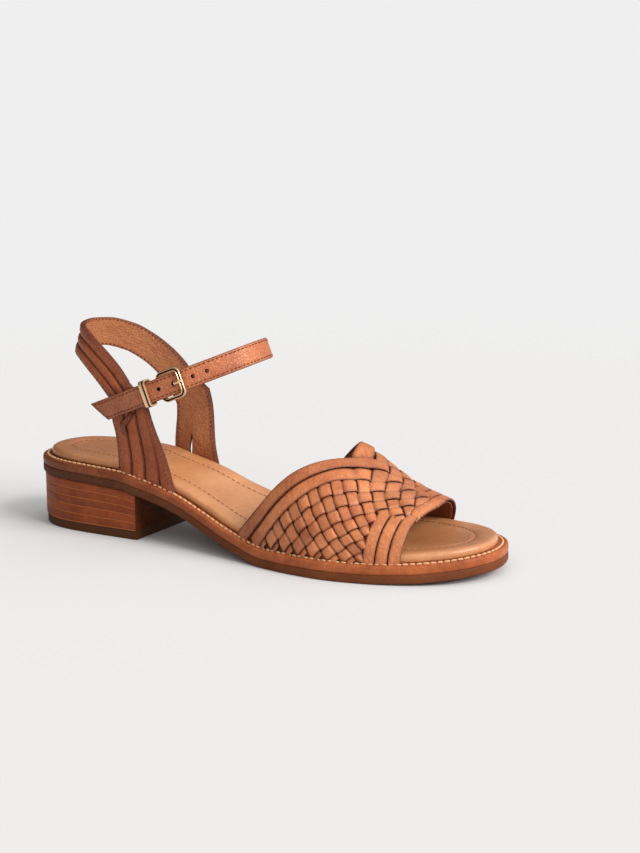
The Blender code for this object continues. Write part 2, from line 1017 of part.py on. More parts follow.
def build_quarter(mats):
    rows = quarter_path()
    ring = QUARTER_OUTER + len(QUARTER_EDGES)
    verts = []
    for n, row in enumerate(rows):
        grooves = GROOVE_LATERAL if n < len(rows) / 2.0 else GROOVE_MEDIAL
        k = 1.0 - min(n, len(rows) - 1 - n) / LEG_STATIONS
        columns = quarter_columns(grooves, max(k, 0.0))
        for c, rise in columns:
            r, z = row(c)
            verts.append(ankle_point(r, z, WALL + STRIP_RISE * rise))
        for edge in reversed(QUARTER_EDGES):
            r, z = row(columns[edge][0])
            verts.append(ankle_point(r, z, 0.0))
    faces = []
    count = len(rows)
    for k in range(count - 1):
        a = k * ring
        b = a + ring
        for i in range(ring):
            j = (i + 1) % ring
            faces.append((a + j, a + i, b + i, b + j))
    faces += quarter_cap(0, False)
    faces += quarter_cap((count - 1) * ring, True)
    quarter = add_mesh("quarter", verts, faces, mats["upper"])
    # the slit between the two medial straps, open at the welt
    middle = ANKLE_X * lerp(QUARTER_MEDIAL[0][1], QUARTER_MEDIAL[0][2], GROOVE_MEDIAL[0][0])
    foot = insole_under(middle)
    near = side_y(middle, 1) - 4.0
    verts = []
    for y in (near, near + 14.0):
        verts.append((middle - SLIT_WIDTH / 2.0, y, foot - 2.0))
        verts.append((middle + SLIT_WIDTH / 2.0, y, foot - 2.0))
        verts.append((middle + SLIT_WIDTH / 2.0, y, foot + 0.5 * SLIT_HEIGHT))
        verts.append((middle, y, foot + SLIT_HEIGHT))
        verts.append((middle - SLIT_WIDTH / 2.0, y, foot + 0.5 * SLIT_HEIGHT))
    faces = [(0, 1, 2, 3, 4), (9, 8, 7, 6, 5)]
    for i in range(5):
        j = (i + 1) % 5
        faces.append((j, i, i + 5, j + 5))
    add_cutter("cut_slit", verts, faces, quarter)
    return quarter


def strap_frame(u, side):
    """Centre line of the ankle strap in its tilted plane.

    u runs along the lateral side (side -1) or the medial side (side 1).
    Returns the place, the direction along, and the outward direction.
    """
    half = STRAP_SIDE[side]
    if u <= 0.0:
        p = (u, side * half)
        t = (1.0, 0.0)
        n = (0.0, side * 1.0)
    else:
        s = min(u / STRAP_FRONT, 1.0)
        front_half = (STRAP_SIDE[-1] + STRAP_SIDE[1]) / 2.0
        h = lerp(half, front_half, s)
        c = math.sqrt(max(1.0 - s * s, 0.0))
        p = (u, side * h * c)
        nx = s / STRAP_FRONT
        ny = c / h
        m = math.hypot(nx, ny)
        n = (nx / m, side * ny / m)
        t = (ny / m, -side * nx / m)
    return p, t, n


STRAP_SIDE = {
    -1: ANKLE_HALF + WALL + STRIP_RISE + 2.0 * FIT_GAP + BILLET_THICK + STRAP_THICK / 2.0,
    1: ANKLE_HALF + WALL + STRIP_RISE + FIT_GAP + STRAP_THICK / 2.0,
}
TILT = math.radians(STRAP_TILT)
CROSS_SLOPE = math.tan(math.radians(STRAP_CROSS_TILT))


def strap_place(u, y, across):
    """From the strap's plane to the shoe: across is up the strap's width."""
    x = STRAP_X + u * math.cos(TILT) - across * math.sin(TILT)
    z = SEAT + STRAP_HEIGHT + u * math.sin(TILT) + across * math.cos(TILT)
    return (x, y, z + (y + STRAP_SIDE[-1]) * CROSS_SLOPE)


def strap_at(u, side, out, across):
    p, t, n = strap_frame(u, side)
    return strap_place(p[0] + n[0] * out, p[1] + n[1] * out, across)


def strap_section():
    h = STRAP_THICK / 2.0
    w = STRAP_WIDTH / 2.0
    c = 0.45
    return (
        (h - c, -w),
        (h, -w + c),
        (h, w - c),
        (h - c, w),
        (-h + c, w),
        (-h, w - c),
        (-h, -w + c),
        (-h + c, -w),
    )


def closed_sweep(name, rings, mat):
    verts = []
    for ring in rings:
        verts += ring
    n = len(rings[0])
    faces = []
    for k in range(len(rings) - 1):
        a = k * n
        b = a + n
        for i in range(n):
            j = (i + 1) % n
            faces.append((a + i, a + j, b + j, b + i))
    faces.append(tuple(reversed(range(n))))
    faces.append(tuple(range((len(rings) - 1) * n, len(rings) * n)))
    return add_mesh(name, verts, faces, mat)


def strap_stations():
    """Run of the strap as (u, side), from the free tip round to the start."""
    out = []
    for u in (-STRAP_TIP, -STRAP_TIP * 0.6, -STRAP_TIP * 0.25, 0.0):
        out.append((u, -1))
    for i in range(1, 17):
        out.append((STRAP_FRONT * math.sin(math.pi / 2.0 * i / 16.0), -1))
    for i in range(15, 0, -1):
        out.append((STRAP_FRONT * math.sin(math.pi / 2.0 * i / 16.0), 1))
    for u in (0.0, -STRAP_START * 0.5, -STRAP_START):
        out.append((u, 1))
    return out


def add_cutter(name, verts, faces, target):
    ob = add_mesh(name, verts, faces, None)
    ob.hide_render = True
    ob.display_type = "WIRE"
    mod = target.modifiers.new(name, "BOOLEAN")
    mod.operation = "DIFFERENCE"
    mod.solver = "EXACT"
    mod.object = ob
    return ob


def hole_cutter(name, u, radius, target):
    """Round cutter through the strap at u on the lateral side."""
    p, t, n = strap_frame(u, -1)
    verts = []
    count = 12
    for out in (-2.0 * STRAP_THICK, 2.0 * STRAP_THICK):
        for i in range(count):
            a = 2.0 * math.pi * i / count
            along = radius * math.cos(a)
            x = p[0] + n[0] * out + t[0] * along
            y = p[1] + n[1] * out + t[1] * along
            verts.append(strap_place(x, y, radius * math.sin(a)))
    faces = [tuple(range(count)), tuple(reversed(range(count, 2 * count)))]
    for i in range(count):
        j = (i + 1) % count
        faces.append((i, i + count, j + count, j))
    return add_cutter(name, verts, faces, target)


PRONG_HOLE_U = BUCKLE_U + 0.18 * BUCKLE_LENGTH


def build_strap(mats):
    section = strap_section()
    rings = []
    for k, (u, side) in enumerate(strap_stations()):
        ring = []
        for out, across in section:
            shift = 0.0
            if k == 0:
                shift = STRAP_TIP_CUT * (0.5 - across / STRAP_WIDTH)
            ring.append(strap_at(u + shift, side, out, across))
        rings.append(ring)
    strap = closed_sweep("ankle_strap", rings, mats["strap"])
    hole_cutter("cut_prong_hole", PRONG_HOLE_U, PRONG_RADIUS + 0.8, strap)
    hole_cutter("cut_hole_back", PRONG_HOLE_U - 1.4 * HOLE_PITCH, STRAP_HOLE / 2.0, strap)
    hole_cutter("cut_hole_1", PRONG_HOLE_U + 1.5 * HOLE_PITCH, STRAP_HOLE / 2.0, strap)
    hole_cutter("cut_hole_2", PRONG_HOLE_U + 2.55 * HOLE_PITCH, STRAP_HOLE / 2.0, strap)
    return strap


def hardware_point(u, along, out, across):
    """Point in the straight local frame of a piece fixed at u."""
    p, t, n = strap_frame(u, -1)
    x = p[0] + t[0] * along + n[0] * out
    y = p[1] + t[1] * along + n[1] * out
    return strap_place(x, y, across)


def round_rect(half_a, half_b, radius, steps):
    """Rounded rectangle, anticlockwise, as (a, b) with outward normals."""
    out = []
    for cx, cy, start in (
        (half_a - radius, half_b - radius, 0.0),
        (-half_a + radius, half_b - radius, 0.5),
        (-half_a + radius, -half_b + radius, 1.0),
        (half_a - radius, -half_b + radius, 1.5),
    ):
        for i in range(steps + 1):
            a = math.pi * (start + 0.5 * i / steps)
            out.append((cx + radius * math.cos(a), cy + radius * math.sin(a), math.cos(a), math.sin(a)))
    return out


def looped_sweep(name, rings, mat):
    verts = []
    for ring in rings:
        verts += ring
    n = len(rings[0])
    m = len(rings)
    faces = []
    for k in range(m):
        a = k * n
        b = ((k + 1) % m) * n
        for i in range(n):
            j = (i + 1) % n
            faces.append((a + i, a + j, b + j, b + i))
    return add_mesh(name, verts, faces, mat)


BUCKLE_HALF = STRAP_WIDTH / 2.0 + BUCKLE_SLACK + BAR_WIDTH / 2.0
FRONT_OUT = STRAP_THICK / 2.0 + FIT_GAP + BAR_WIDTH / 2.0
BACK_OUT = -FRONT_OUT - 2.0 * FIT_GAP - BILLET_THICK
BACK_BAR = -BUCKLE_LENGTH / 2.0
FRONT_BAR = BUCKLE_LENGTH / 2.0


def buckle_out(along):
    """The frame leans: its front bar is over the strap, its back bar under."""
    return lerp(BACK_OUT, FRONT_OUT, (along - BACK_BAR) / BUCKLE_LENGTH)


def build_buckle(mats):
    rings = []
    for a, b, na, nb in round_rect(FRONT_BAR, BUCKLE_HALF, 2.6, 5):
        ring = []
        for i in range(8):
            ang = 2.0 * math.pi * (i + 0.5) / 8.0
            wide = BAR_WIDTH / 2.0 * math.cos(ang)
            high = BAR_WIDTH / 2.0 * math.sin(ang)
            along = a + na * wide
            across = b + nb * wide
            ring.append(hardware_point(BUCKLE_U, along, buckle_out(a) + high, across))
        rings.append(ring)
    looped_sweep("buckle_frame", rings, mats["metal"])


def tube(name, path, radius, mat):
    """Round bar through points given as (along, out) beside the buckle."""
    rings = []
    n = len(path)
    for k in range(n):
        a = path[max(k - 1, 0)]
        b = path[min(k + 1, n - 1)]
        tx = b[0] - a[0]
        ty = b[1] - a[1]
        m = math.hypot(tx, ty)
        nx = -ty / m
        ny = tx / m
        r = radius if 0 < k < n - 1 else radius * 0.55
        ring = []
        for i in range(8):
            ang = 2.0 * math.pi * i / 8.0
            c = r * math.cos(ang)
            ring.append(hardware_point(
                BUCKLE_U, path[k][0] + nx * c, path[k][1] + ny * c, r * math.sin(ang)
            ))
        rings.append(ring)
    return closed_sweep(name, rings, mat)


PRONG_RING = BAR_WIDTH / 2.0 + FIT_GAP + PRONG_RADIUS


def build_prong(mats):
    hole = PRONG_HOLE_U - BUCKLE_U
    top = FRONT_OUT + BAR_WIDTH / 2.0 + FIT_GAP * 0.5 + PRONG_RADIUS
    low = -STRAP_THICK / 2.0 - FIT_GAP - PRONG_RADIUS
    path = []
    # the eye turns round the back bar and stops just short of the shank
    for i in range(9):
        a = math.radians(lerp(115.0, 380.0, i / 8.0))
        path.append((
            BACK_BAR + PRONG_RING * math.cos(a),
            BACK_OUT + PRONG_RING * math.sin(a),
        ))
    path.append((lerp(path[-1][0], hole - 2.0, 0.6), low - 0.35))
    path.append((hole - 1.7, low - 0.1))
    path.append((hole - 0.75, low + 0.35))
    path.append((hole - 0.2, -0.4 * STRAP_THICK))
    path.append((hole + 0.2, 0.4 * STRAP_THICK))
    path.append((hole + 0.7, FRONT_OUT))
    path.append((hole + 1.6, top - 0.35))
    path.append((FRONT_BAR - 0.6, top))
    path.append((FRONT_BAR + 0.75, top))
    tube("buckle_prong", path, PRONG_RADIUS, mats["metal"])


def build_keeper(mats):
    inner_low = -STRAP_THICK / 2.0 - FIT_GAP - BILLET_THICK - FIT_GAP
    inner_high = STRAP_THICK / 2.0 + FIT_GAP
    mid = (inner_low + inner_high) / 2.0 - 0.0
    half_out = (inner_high - inner_low) / 2.0
    half_up = STRAP_WIDTH / 2.0 + BUCKLE_SLACK
    rings = []
    for a, b, na, nb in round_rect(half_out + 0.35, half_up + 0.35, 1.0, 3):
        ring = []
        for along, deep in (
            (-KEEPER_WIDTH / 2.0, -0.35),
            (KEEPER_WIDTH / 2.0, -0.35),
            (KEEPER_WIDTH / 2.0, KEEPER_WALL - 0.55),
            (KEEPER_WIDTH / 2.0 - 0.3, KEEPER_WALL - 0.25),
            (-KEEPER_WIDTH / 2.0 + 0.3, KEEPER_WALL - 0.25),
            (-KEEPER_WIDTH / 2.0, KEEPER_WALL - 0.55),
        ):
            ring.append(hardware_point(KEEPER_U, along, mid + a + na * deep, b + nb * deep))
        rings.append(ring)
    looped_sweep("keeper", rings, mats["metal"])


def build_billet(mats):
    """Short strap under the long one: from the quarter to the back bar."""
    h = BILLET_THICK / 2.0
    under = -STRAP_THICK / 2.0 - FIT_GAP - h
    w = STRAP_WIDTH / 2.0 - BILLET_MARGIN
    path = []
    for i in range(9):
        u = lerp(-13.0, BUCKLE_U + BACK_BAR - 3.0, i / 8.0)
        p, t, n = strap_frame(u, -1)
        path.append((p[0] + n[0] * under, p[1] + n[1] * under))
    p, t, n = strap_frame(BUCKLE_U, -1)
    r = BAR_WIDTH / 2.0 + FIT_GAP + h
    for i in range(9):
        a = math.radians(lerp(100.0, -120.0, i / 8.0))
        along = BACK_BAR + r * math.cos(a)
        out = BACK_OUT + r * math.sin(a)
        path.append((p[0] + t[0] * along + n[0] * out, p[1] + t[1] * along + n[1] * out))
    rings = []
    m = len(path)
    for k in range(m):
        a = path[max(k - 1, 0)]
        b = path[min(k + 1, m - 1)]
        tx = b[0] - a[0]
        ty = b[1] - a[1]
        d = math.hypot(tx, ty)
        nx = ty / d * h
        ny = -tx / d * h
        x, y = path[k]
        rings.append([
            strap_place(x + nx, y + ny, -w),
            strap_place(x + nx, y + ny, w),
            strap_place(x - nx, y - ny, w),
            strap_place(x - nx, y - ny, -w),
        ])
    billet = closed_sweep("billet", rings, mats["strap"])
    # slot that lets the prong's eye reach the bar
    sw = PRONG_RADIUS + 0.5
    verts = []
    for along in (BACK_BAR - 3.2, BACK_BAR + 4.0):
        for out in (BACK_OUT - 4.0, BACK_OUT + 4.0):
            for across in (-sw, sw):
                verts.append(hardware_point(BUCKLE_U, along, out, across))
    faces = [(0, 1, 3, 2), (4, 6, 7, 5), (0, 4, 5, 1), (2, 3, 7, 6), (0, 2, 6, 4), (1, 5, 7, 3)]
    add_cutter("cut_billet_slot", verts, faces, billet)
    return billet


for old in list(bpy.data.objects):
    bpy.data.objects.remove(old)

MATS = {
    "rubber": material("sole_rubber", (0.115, 0.065, 0.030), 0.75, 0.0),
    "welt": material("welt_leather", (0.230, 0.080, 0.035), 0.5, 0.0),
    "insole": material("insole_leather", (0.560, 0.300, 0.150), 0.6, 0.0),
    "heel": material("heel_leather", (0.200, 0.075, 0.035), 0.5, 0.0),
    "top_lift": material("heel_rubber", (0.060, 0.042, 0.022), 0.8, 0.0),
    "upper": material("upper_leather", (0.420, 0.170, 0.065), 0.5, 0.0),
    "strap": material("strap_leather", (0.400, 0.160, 0.060), 0.5, 0.0),
    "metal": material("buckle_metal", (0.750, 0.600, 0.350), 0.3, 1.0),
}

build_sole(MATS)
build_heel(MATS)
build_vamp(MATS)
build_quarter(MATS)
build_strap(MATS)
build_billet(MATS)
build_buckle(MATS)
build_prong(MATS)
build_keeper(MATS)
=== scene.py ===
"""Looks of the woven leather sandal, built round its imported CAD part.

Sizes are in millimetres, x from the heel's back, and become metres in the
part's own frame where a mesh is made.
"""

import bmesh
import bpy
import math
import numpy as np
from mathutils import Matrix, Vector


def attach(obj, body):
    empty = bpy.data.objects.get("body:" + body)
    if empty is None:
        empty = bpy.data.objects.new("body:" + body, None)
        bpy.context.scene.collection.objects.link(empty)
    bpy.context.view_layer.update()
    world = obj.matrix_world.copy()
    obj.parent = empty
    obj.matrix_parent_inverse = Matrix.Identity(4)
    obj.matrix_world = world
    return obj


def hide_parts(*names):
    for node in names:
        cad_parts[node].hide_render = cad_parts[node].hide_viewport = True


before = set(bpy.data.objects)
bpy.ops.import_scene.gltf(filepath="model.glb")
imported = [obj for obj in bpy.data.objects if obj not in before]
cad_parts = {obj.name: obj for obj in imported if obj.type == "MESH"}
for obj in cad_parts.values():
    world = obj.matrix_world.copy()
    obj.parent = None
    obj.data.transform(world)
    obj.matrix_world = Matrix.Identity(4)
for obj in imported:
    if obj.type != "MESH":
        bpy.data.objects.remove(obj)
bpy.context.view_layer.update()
scene = bpy.context.scene
RNG = np.random.RandomState(7)
MM = 0.001
# step along the sole's edge for its direction, as a share of its run
EDGE_STEP = 0.002

# Sizes of the sole
SOLE_LENGTH = 250.0
BALL_LATERAL = 44.5
BALL_MEDIAL = 45.0
SEAT_HEIGHT = 26.5
TOE_SPRING = 4.0
OUTSOLE_THICK = 4.0
WELT_THICK = 4.2
INSOLE_INSET = 4.8
BOND_GAP = 0.25
FIT_GAP = 0.3
HEEL_LENGTH = 70.0
HEEL_INSET = 1.0
TOP_LIFT = 5.0
LIFT_COUNT = 5
HEEL_CENTRE = 38.0

# Sizes of the upper
WALL = 1.8
STRIP_RISE = 0.7
STRIP_PITCH = 6.2
VAMP_BACK_SIDE = 0.525
VAMP_BACK_TOP = 0.706
VAMP_FRONT_LATERAL = 0.862
VAMP_FRONT_TOP = 0.870
VAMP_FRONT_MEDIAL = 0.828
VAMP_GIRTH = 0.715 * (BALL_LATERAL + BALL_MEDIAL)
CROWN_SKEW_BACK = 3.4
CROWN_SKEW_FRONT = -3.7
CROWN_FULLNESS = 0.88
STRIP_FAN = 0.28
TOE_STRIPS = 3
TOE_STRIP_WIDTH = 5.4
TOE_STRIP_END = 0.34
ANKLE_X = 62.0
HEEL_BACK_LOW = 5.0
HEEL_BACK_HIGH = 26.0
LOOP_RISE = 61.0
LOOP_WIDTH = 14.5
ANKLE_HALF = 29.6
LEG_TOP_LATERAL = 0.472
LEG_TOP_MEDIAL = 0.440
LEG_SLANT = 4.5
ANKLE_FULL = 0.44

# Sizes of the ankle strap and the metal
STRAP_WIDTH = 10.2
STRAP_THICK = 2.1
STRAP_TILT = 21.8
STRAP_CROSS_TILT = 3.6
STRAP_HEIGHT = 36.1
STRAP_X = 75.0
STRAP_FRONT = 54.0
STRAP_TIP = 24.0
STRAP_TIP_CUT = 7.0
STRAP_START = 17.0
STRAP_HOLE = 1.9
HOLE_PITCH = 5.7
BILLET_THICK = 1.2
BILLET_MARGIN = 1.0
BUCKLE_U = 21.4
BUCKLE_LENGTH = 12.6
BAR_WIDTH = 1.5
BUCKLE_SLACK = 0.5
KEEPER_U = 8.7
KEEPER_WIDTH = 3.4
PRONG_RADIUS = 0.65

# along, lateral, medial: shares of sole length and of the ball half widths
OUTLINE = (
    (0.000, 0.000, 0.000), (0.012, 0.290, 0.290), (0.040, 0.470, 0.470),
    (0.080, 0.585, 0.580), (0.120, 0.630, 0.620), (0.200, 0.650, 0.640),
    (0.300, 0.655, 0.585), (0.400, 0.690, 0.560), (0.500, 0.790, 0.640),
    (0.600, 0.925, 0.840), (0.660, 0.980, 0.945), (0.720, 1.000, 1.000),
    (0.800, 0.935, 0.995), (0.880, 0.790, 0.890), (0.940, 0.590, 0.700),
    (0.980, 0.350, 0.430), (1.000, 0.000, 0.000),
)
# along, share of the seat height at the outsole's underside
PROFILE = (
    (0.00, 1.000), (0.12, 0.975), (0.24, 0.925), (0.28, 0.850),
    (0.32, 0.770), (0.37, 0.650), (0.44, 0.400), (0.52, 0.140),
    (0.60, 0.000), (0.77, 0.000), (1.00, 0.000),
)
# along, share of the toe spring
SPRING = ((0.00, 0.00), (0.77, 0.00), (0.84, 0.10), (0.92, 0.42), (1.00, 1.00))
# along, height of the vamp's crown above the insole, share of sole length
CROWN = (
    (0.45, 0.160), (0.60, 0.178), (0.70, 0.149), (0.78, 0.099),
    (0.87, 0.068), (0.95, 0.050),
)
# run round the heel as a share of ANKLE_X, share of loop rise
LOOP_LATERAL = (
    (0.00, 1.000), (0.25, 0.992), (0.50, 0.965), (0.66, 0.921),
    (0.82, 0.842), (0.94, 0.751), (1.06, 0.614),
)
LOOP_MEDIAL = (
    (0.00, 1.000), (0.25, 0.987), (0.50, 0.929), (0.66, 0.850),
    (0.80, 0.748), (0.90, 0.645), (0.96, 0.562),
)
# share of the leg's height, rear and front edge as shares of ANKLE_X
QUARTER_LATERAL = (
    (0.00, 0.968, 1.492), (0.35, 0.971, 1.419), (0.70, 0.973, 1.347),
    (1.00, 0.960, 1.290),
)
QUARTER_MEDIAL = (
    (0.00, 0.968, 1.400), (0.35, 0.962, 1.345), (0.70, 0.955, 1.280),
    (1.00, 0.940, 1.222),
)
# share of the loop's rise, half width of the ankle as a share of ANKLE_HALF
ANKLE = ((0.00, 0.93), (0.40, 0.97), (0.67, 1.00), (1.00, 0.93), (1.26, 0.88))
# grooves between the strips, as shares across: at the welt, then in the loop
GROOVE_LATERAL = ((0.22, 0.333), (0.46, 0.667), (0.73, 0.965))
GROOVE_MEDIAL = ((0.35, 0.333), (0.68, 0.667), (0.965, 0.965))


def lerp(a, b, t):
    return a + (b - a) * t


def spline(table, column):
    """Monotone cubic through a table's column, for numbers or arrays."""
    xs = np.array([row[0] for row in table], float)
    ys = np.array([row[column] for row in table], float)
    d = np.diff(ys) / np.diff(xs)
    m = np.zeros(len(xs))
    m[0] = d[0]
    m[-1] = d[-1]
    for i in range(1, len(xs) - 1):
        if d[i - 1] * d[i] > 0.0:
            m[i] = 2.0 * d[i - 1] * d[i] / (d[i - 1] + d[i])

    def value(x):
        x = np.clip(x, xs[0], xs[-1])
        k = np.clip(np.searchsorted(xs, x) - 1, 0, len(xs) - 2)
        h = xs[k + 1] - xs[k]
        t = (x - xs[k]) / h
        a = ys[k] * (2 * t ** 3 - 3 * t ** 2 + 1) + m[k] * h * (t ** 3 - 2 * t ** 2 + t)
        return a + ys[k + 1] * (3 * t ** 2 - 2 * t ** 3) + m[k + 1] * h * (t ** 3 - t ** 2)
    return value


ANGLES = [(math.acos(1.0 - 2.0 * a) / math.pi, lat, med) for a, lat, med in OUTLINE]
edge_lateral = spline(ANGLES, 1)
edge_medial = spline(ANGLES, 2)
profile = spline(PROFILE, 1)
spring = spline(SPRING, 1)
crown_of = spline(CROWN, 1)
ankle_of = spline(ANKLE, 1)
loop_of = {-1: spline(LOOP_LATERAL, 1), 1: spline(LOOP_MEDIAL, 1)}
leg_of = {
    -1: (spline(QUARTER_LATERAL, 1), spline(QUARTER_LATERAL, 2), QUARTER_LATERAL, LEG_TOP_LATERAL),
    1: (spline(QUARTER_MEDIAL, 1), spline(QUARTER_MEDIAL, 2), QUARTER_MEDIAL, LEG_TOP_MEDIAL),
}


def edge(q, side):
    """A point of the sole's edge, q from 0 at the heel to 1 at the toe, side -1 outside."""
    x = SOLE_LENGTH * (1.0 - np.cos(np.pi * q)) / 2.0
    half = BALL_LATERAL * edge_lateral(q) if side < 0 else BALL_MEDIAL * edge_medial(q)
    return x, half * side


def edge_in(q, side, inset):
    """Points of the sole's edge moved in by inset."""
    q = np.asarray(q, float)
    x, y = edge(q, side)
    ax, ay = edge(np.clip(q - EDGE_STEP, 0.0, 1.0), side)
    bx, by = edge(np.clip(q + EDGE_STEP, 0.0, 1.0), side)
    n = np.hypot(bx - ax, by - ay)
    px = x + side * (by - ay) / n * inset
    py = y - side * (bx - ax) / n * inset
    low = q <= EDGE_STEP
    high = q >= 1.0 - EDGE_STEP
    px = np.where(low, x + inset, np.where(high, x - inset, px))
    py = np.where(low | high, 0.0, py)
    return px, py


def floor_line(x):
    s = np.clip(np.asarray(x, float) / SOLE_LENGTH, 0.0, 1.0)
    return SEAT_HEIGHT * profile(s) + TOE_SPRING * spring(s)


def welt_under(x):
    return floor_line(x) + OUTSOLE_THICK + BOND_GAP


def welt_top(x):
    return welt_under(x) + WELT_THICK


def insole_under(x):
    return welt_top(x) + BOND_GAP


# underside of the insole at the heel, and the line a fit gap outside the insole
SEAT = float(insole_under(0.0))
FIT_SIDE = {}
for SIDE in (-1, 1):
    FX, FY = edge_in(np.linspace(0.0, 1.0, 401), SIDE, INSOLE_INSET - FIT_GAP)
    KEEP = np.concatenate(([True], np.diff(np.maximum.accumulate(FX)) > 1e-6))
    FIT_SIDE[SIDE] = (FX[KEEP], np.abs(FY[KEEP]))


def side_y(x, side):
    """Half width of the upper's inner face at x, a fit gap outside the insole."""
    return np.interp(x, FIT_SIDE[side][0], FIT_SIDE[side][1])


def q_at(x):
    return math.acos(1.0 - 2.0 * x / SOLE_LENGTH) / math.pi


# Meshes


def new_object(name, data):
    ob = bpy.data.objects.new(name, data)
    scene.collection.objects.link(ob)
    return ob


def new_mesh(name, points, edges, faces):
    """A mesh from points in millimetres."""
    place = (np.asarray(points, float).reshape(-1, 3) - (HEEL_CENTRE, 0.0, 0.0)) * MM
    mesh = bpy.data.meshes.new(name)
    mesh.from_pydata([tuple(p) for p in place], edges, [tuple(int(i) for i in f) for f in faces])
    return mesh


def face_outwards(mesh):
    bm = bmesh.new()
    bm.from_mesh(mesh)
    bmesh.ops.recalc_face_normals(bm, faces=bm.faces[:])
    bm.to_mesh(mesh)
    bm.free()


def piece(name, points, faces, mats, slot, attrs=None, face_mats=None, sharp=40.0, stands_for=()):
    """A finished piece from points in millimetres, riding on the body."""
    mesh = new_mesh(name, points, [], faces)
    for mat in mats:
        mesh.materials.append(M[mat])
    if face_mats is not None:
        mesh.polygons.foreach_set("material_index", np.asarray(face_mats, np.int32))
    for key, values in (attrs or {}).items():
        layer = mesh.attributes.new(key, "FLOAT", "POINT")
        layer.data.foreach_set("value", np.asarray(values, np.float32))
    face_outwards(mesh)
    mesh.shade_smooth()
    mesh.set_sharp_from_angle(angle=math.radians(sharp))
    mesh.update()
    ob = new_object(name, mesh)
    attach(ob, "root")
    if stands_for:
        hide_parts(*stands_for)
    return ob


class Parts:
    """Gathers several closed strips into one mesh."""

    def __init__(self):
        self.points = []
        self.faces = []
        self.attrs = {}
        self.count = 0

    def add(self, points, faces, **attrs):
        points = np.asarray(points, float).reshape(-1, 3)
        self.points.append(points)
        self.faces += [tuple(self.count + i for i in f) for f in faces]
        for key, values in attrs.items():
            self.attrs.setdefault(key, []).append(np.broadcast_to(values, len(points)))
        self.count += len(points)

    def make(self, name, mats, slot, **kw):
        attrs = {k: np.concatenate(v) for k, v in self.attrs.items()}
        return piece(name, np.concatenate(self.points), self.faces, mats, slot, attrs, **kw)


def tube_faces(rings, size, closed=False, ends=True):
    """Faces between rings of points that follow each other."""
    faces = []
    for k in range(rings if closed else rings - 1):
        a = k * size
        b = ((k + 1) % rings) * size
        for i in range(size):
            j = (i + 1) % size
            faces.append((a + i, a + j, b + j, b + i))
    if ends and not closed:
        faces.append(tuple(reversed(range(size))))
        faces.append(tuple(range((rings - 1) * size, rings * size)))
    return faces


def slab_mesh(qs, rings, blunt=0.0, columns=14, dish=None):
    """Slab round the sole's outline from (inset, height function) rings; blunt is the x of a cut."""
    body = qs[1:] if blunt else qs[1:-1]
    points = []
    for inset, height in rings:
        lateral, medial = (np.column_stack(edge_in(body, side, inset)) for side in (-1, 1))
        heel, toe = ([(float(edge_in(q, 1, inset)[0]), 0.0)] for q in (0.0, 1.0))
        if blunt:
            lateral[-1, 0] = medial[-1, 0] = blunt
            ring = np.concatenate((heel, lateral, medial[::-1]))
        else:
            ring = np.concatenate((heel, lateral, toe, medial[::-1]))
        points.append(np.column_stack((ring, height(ring[:, 0]))))
    size = len(points[0])
    faces = tube_faces(len(rings), size, ends=False)
    total = size * len(rings)
    for base, ring in ((0, points[0]), (total - size, points[-1])):
        rows = []
        for i in range(len(body)):
            row = [base + 1 + i]
            for c in range(1, columns):
                t = c / columns
                p = lerp(ring[1 + i], ring[size - 1 - i], t)
                if base and dish is not None:
                    p = p + np.array((0.0, 0.0, dish(p[0], t)))
                points.append(p[None, :])
                row.append(total)
                total += 1
            rows.append(row + [base + size - 1 - i])
        band = [(base, *rows[0])]
        for a, b in zip(rows, rows[1:]):
            band += [(a[c], b[c], b[c + 1], a[c + 1]) for c in range(columns)]
        if not blunt:
            band.append((base + len(body) + 1, *reversed(rows[-1])))
        faces += [f if base else tuple(reversed(f)) for f in band]
    return np.concatenate(points), faces


def raised(base, amount):
    return lambda x: base(x) + amount


def over(base, inset, *rings):
    """Rings for slab_mesh from (inset, height) pairs over a base line."""
    return [(inset + more, raised(base, height)) for more, height in rings]


def rounded(size, half_w, half_t, power):
    """Closed flattened section: (across, out) pairs, anticlockwise."""
    out = []
    for i in range(size):
        a = 2.0 * math.pi * i / size
        c, s = math.cos(a), math.sin(a)
        across = half_w * math.copysign(abs(c) ** power, c)
        out.append((across, half_t * math.copysign(abs(s) ** power, s)))
    return out


def unit(v):
    return v / np.linalg.norm(v, axis=-1, keepdims=True)


def tangents(path):
    return unit(np.gradient(path, axis=0))


def eased(path, times):
    """A run of points with its corners softened."""
    for _ in range(times):
        path[1:-1] = (path[:-2] + 2.0 * path[1:-1] + path[2:]) / 4.0
    return path


def smooth_step(v):
    v = np.clip(v, 0.0, 1.0)
    return v * v * (3.0 - 2.0 * v)


# Materials


def feed(tree, n, inputs):
    """Sets a node's inputs to numbers, colours or other nodes' outputs."""
    for key, value in inputs.items():
        if isinstance(value, bpy.types.NodeSocket):
            tree.links.new(value, n.inputs[key])
        else:
            n.inputs[key].default_value = value


def node(tree, kind, inputs=None, **values):
    n = tree.nodes.new(kind)
    for key, value in values.items():
        setattr(n, key, value)
    feed(tree, n, inputs or {})
    return n


def group(kind, name, inputs, outputs):
    """A node group from (label, kind of socket, default) rows; gives its inner sockets too."""
    tree = bpy.data.node_groups.new(name, kind)
    for label, socket, *default in inputs:
        made = tree.interface.new_socket(name=label, in_out="INPUT", socket_type="NodeSocket" + socket)
        if default:
            made.default_value = default[0]
    for label, socket in outputs:
        tree.interface.new_socket(name=label, in_out="OUTPUT", socket_type="NodeSocket" + socket)
    return tree, node(tree, "NodeGroupInput").outputs, node(tree, "NodeGroupOutput")


def calc(tree, op, *terms, clamp=False):
    return node(tree, "ShaderNodeMath", dict(enumerate(terms)), operation=op, use_clamp=clamp).outputs[0]


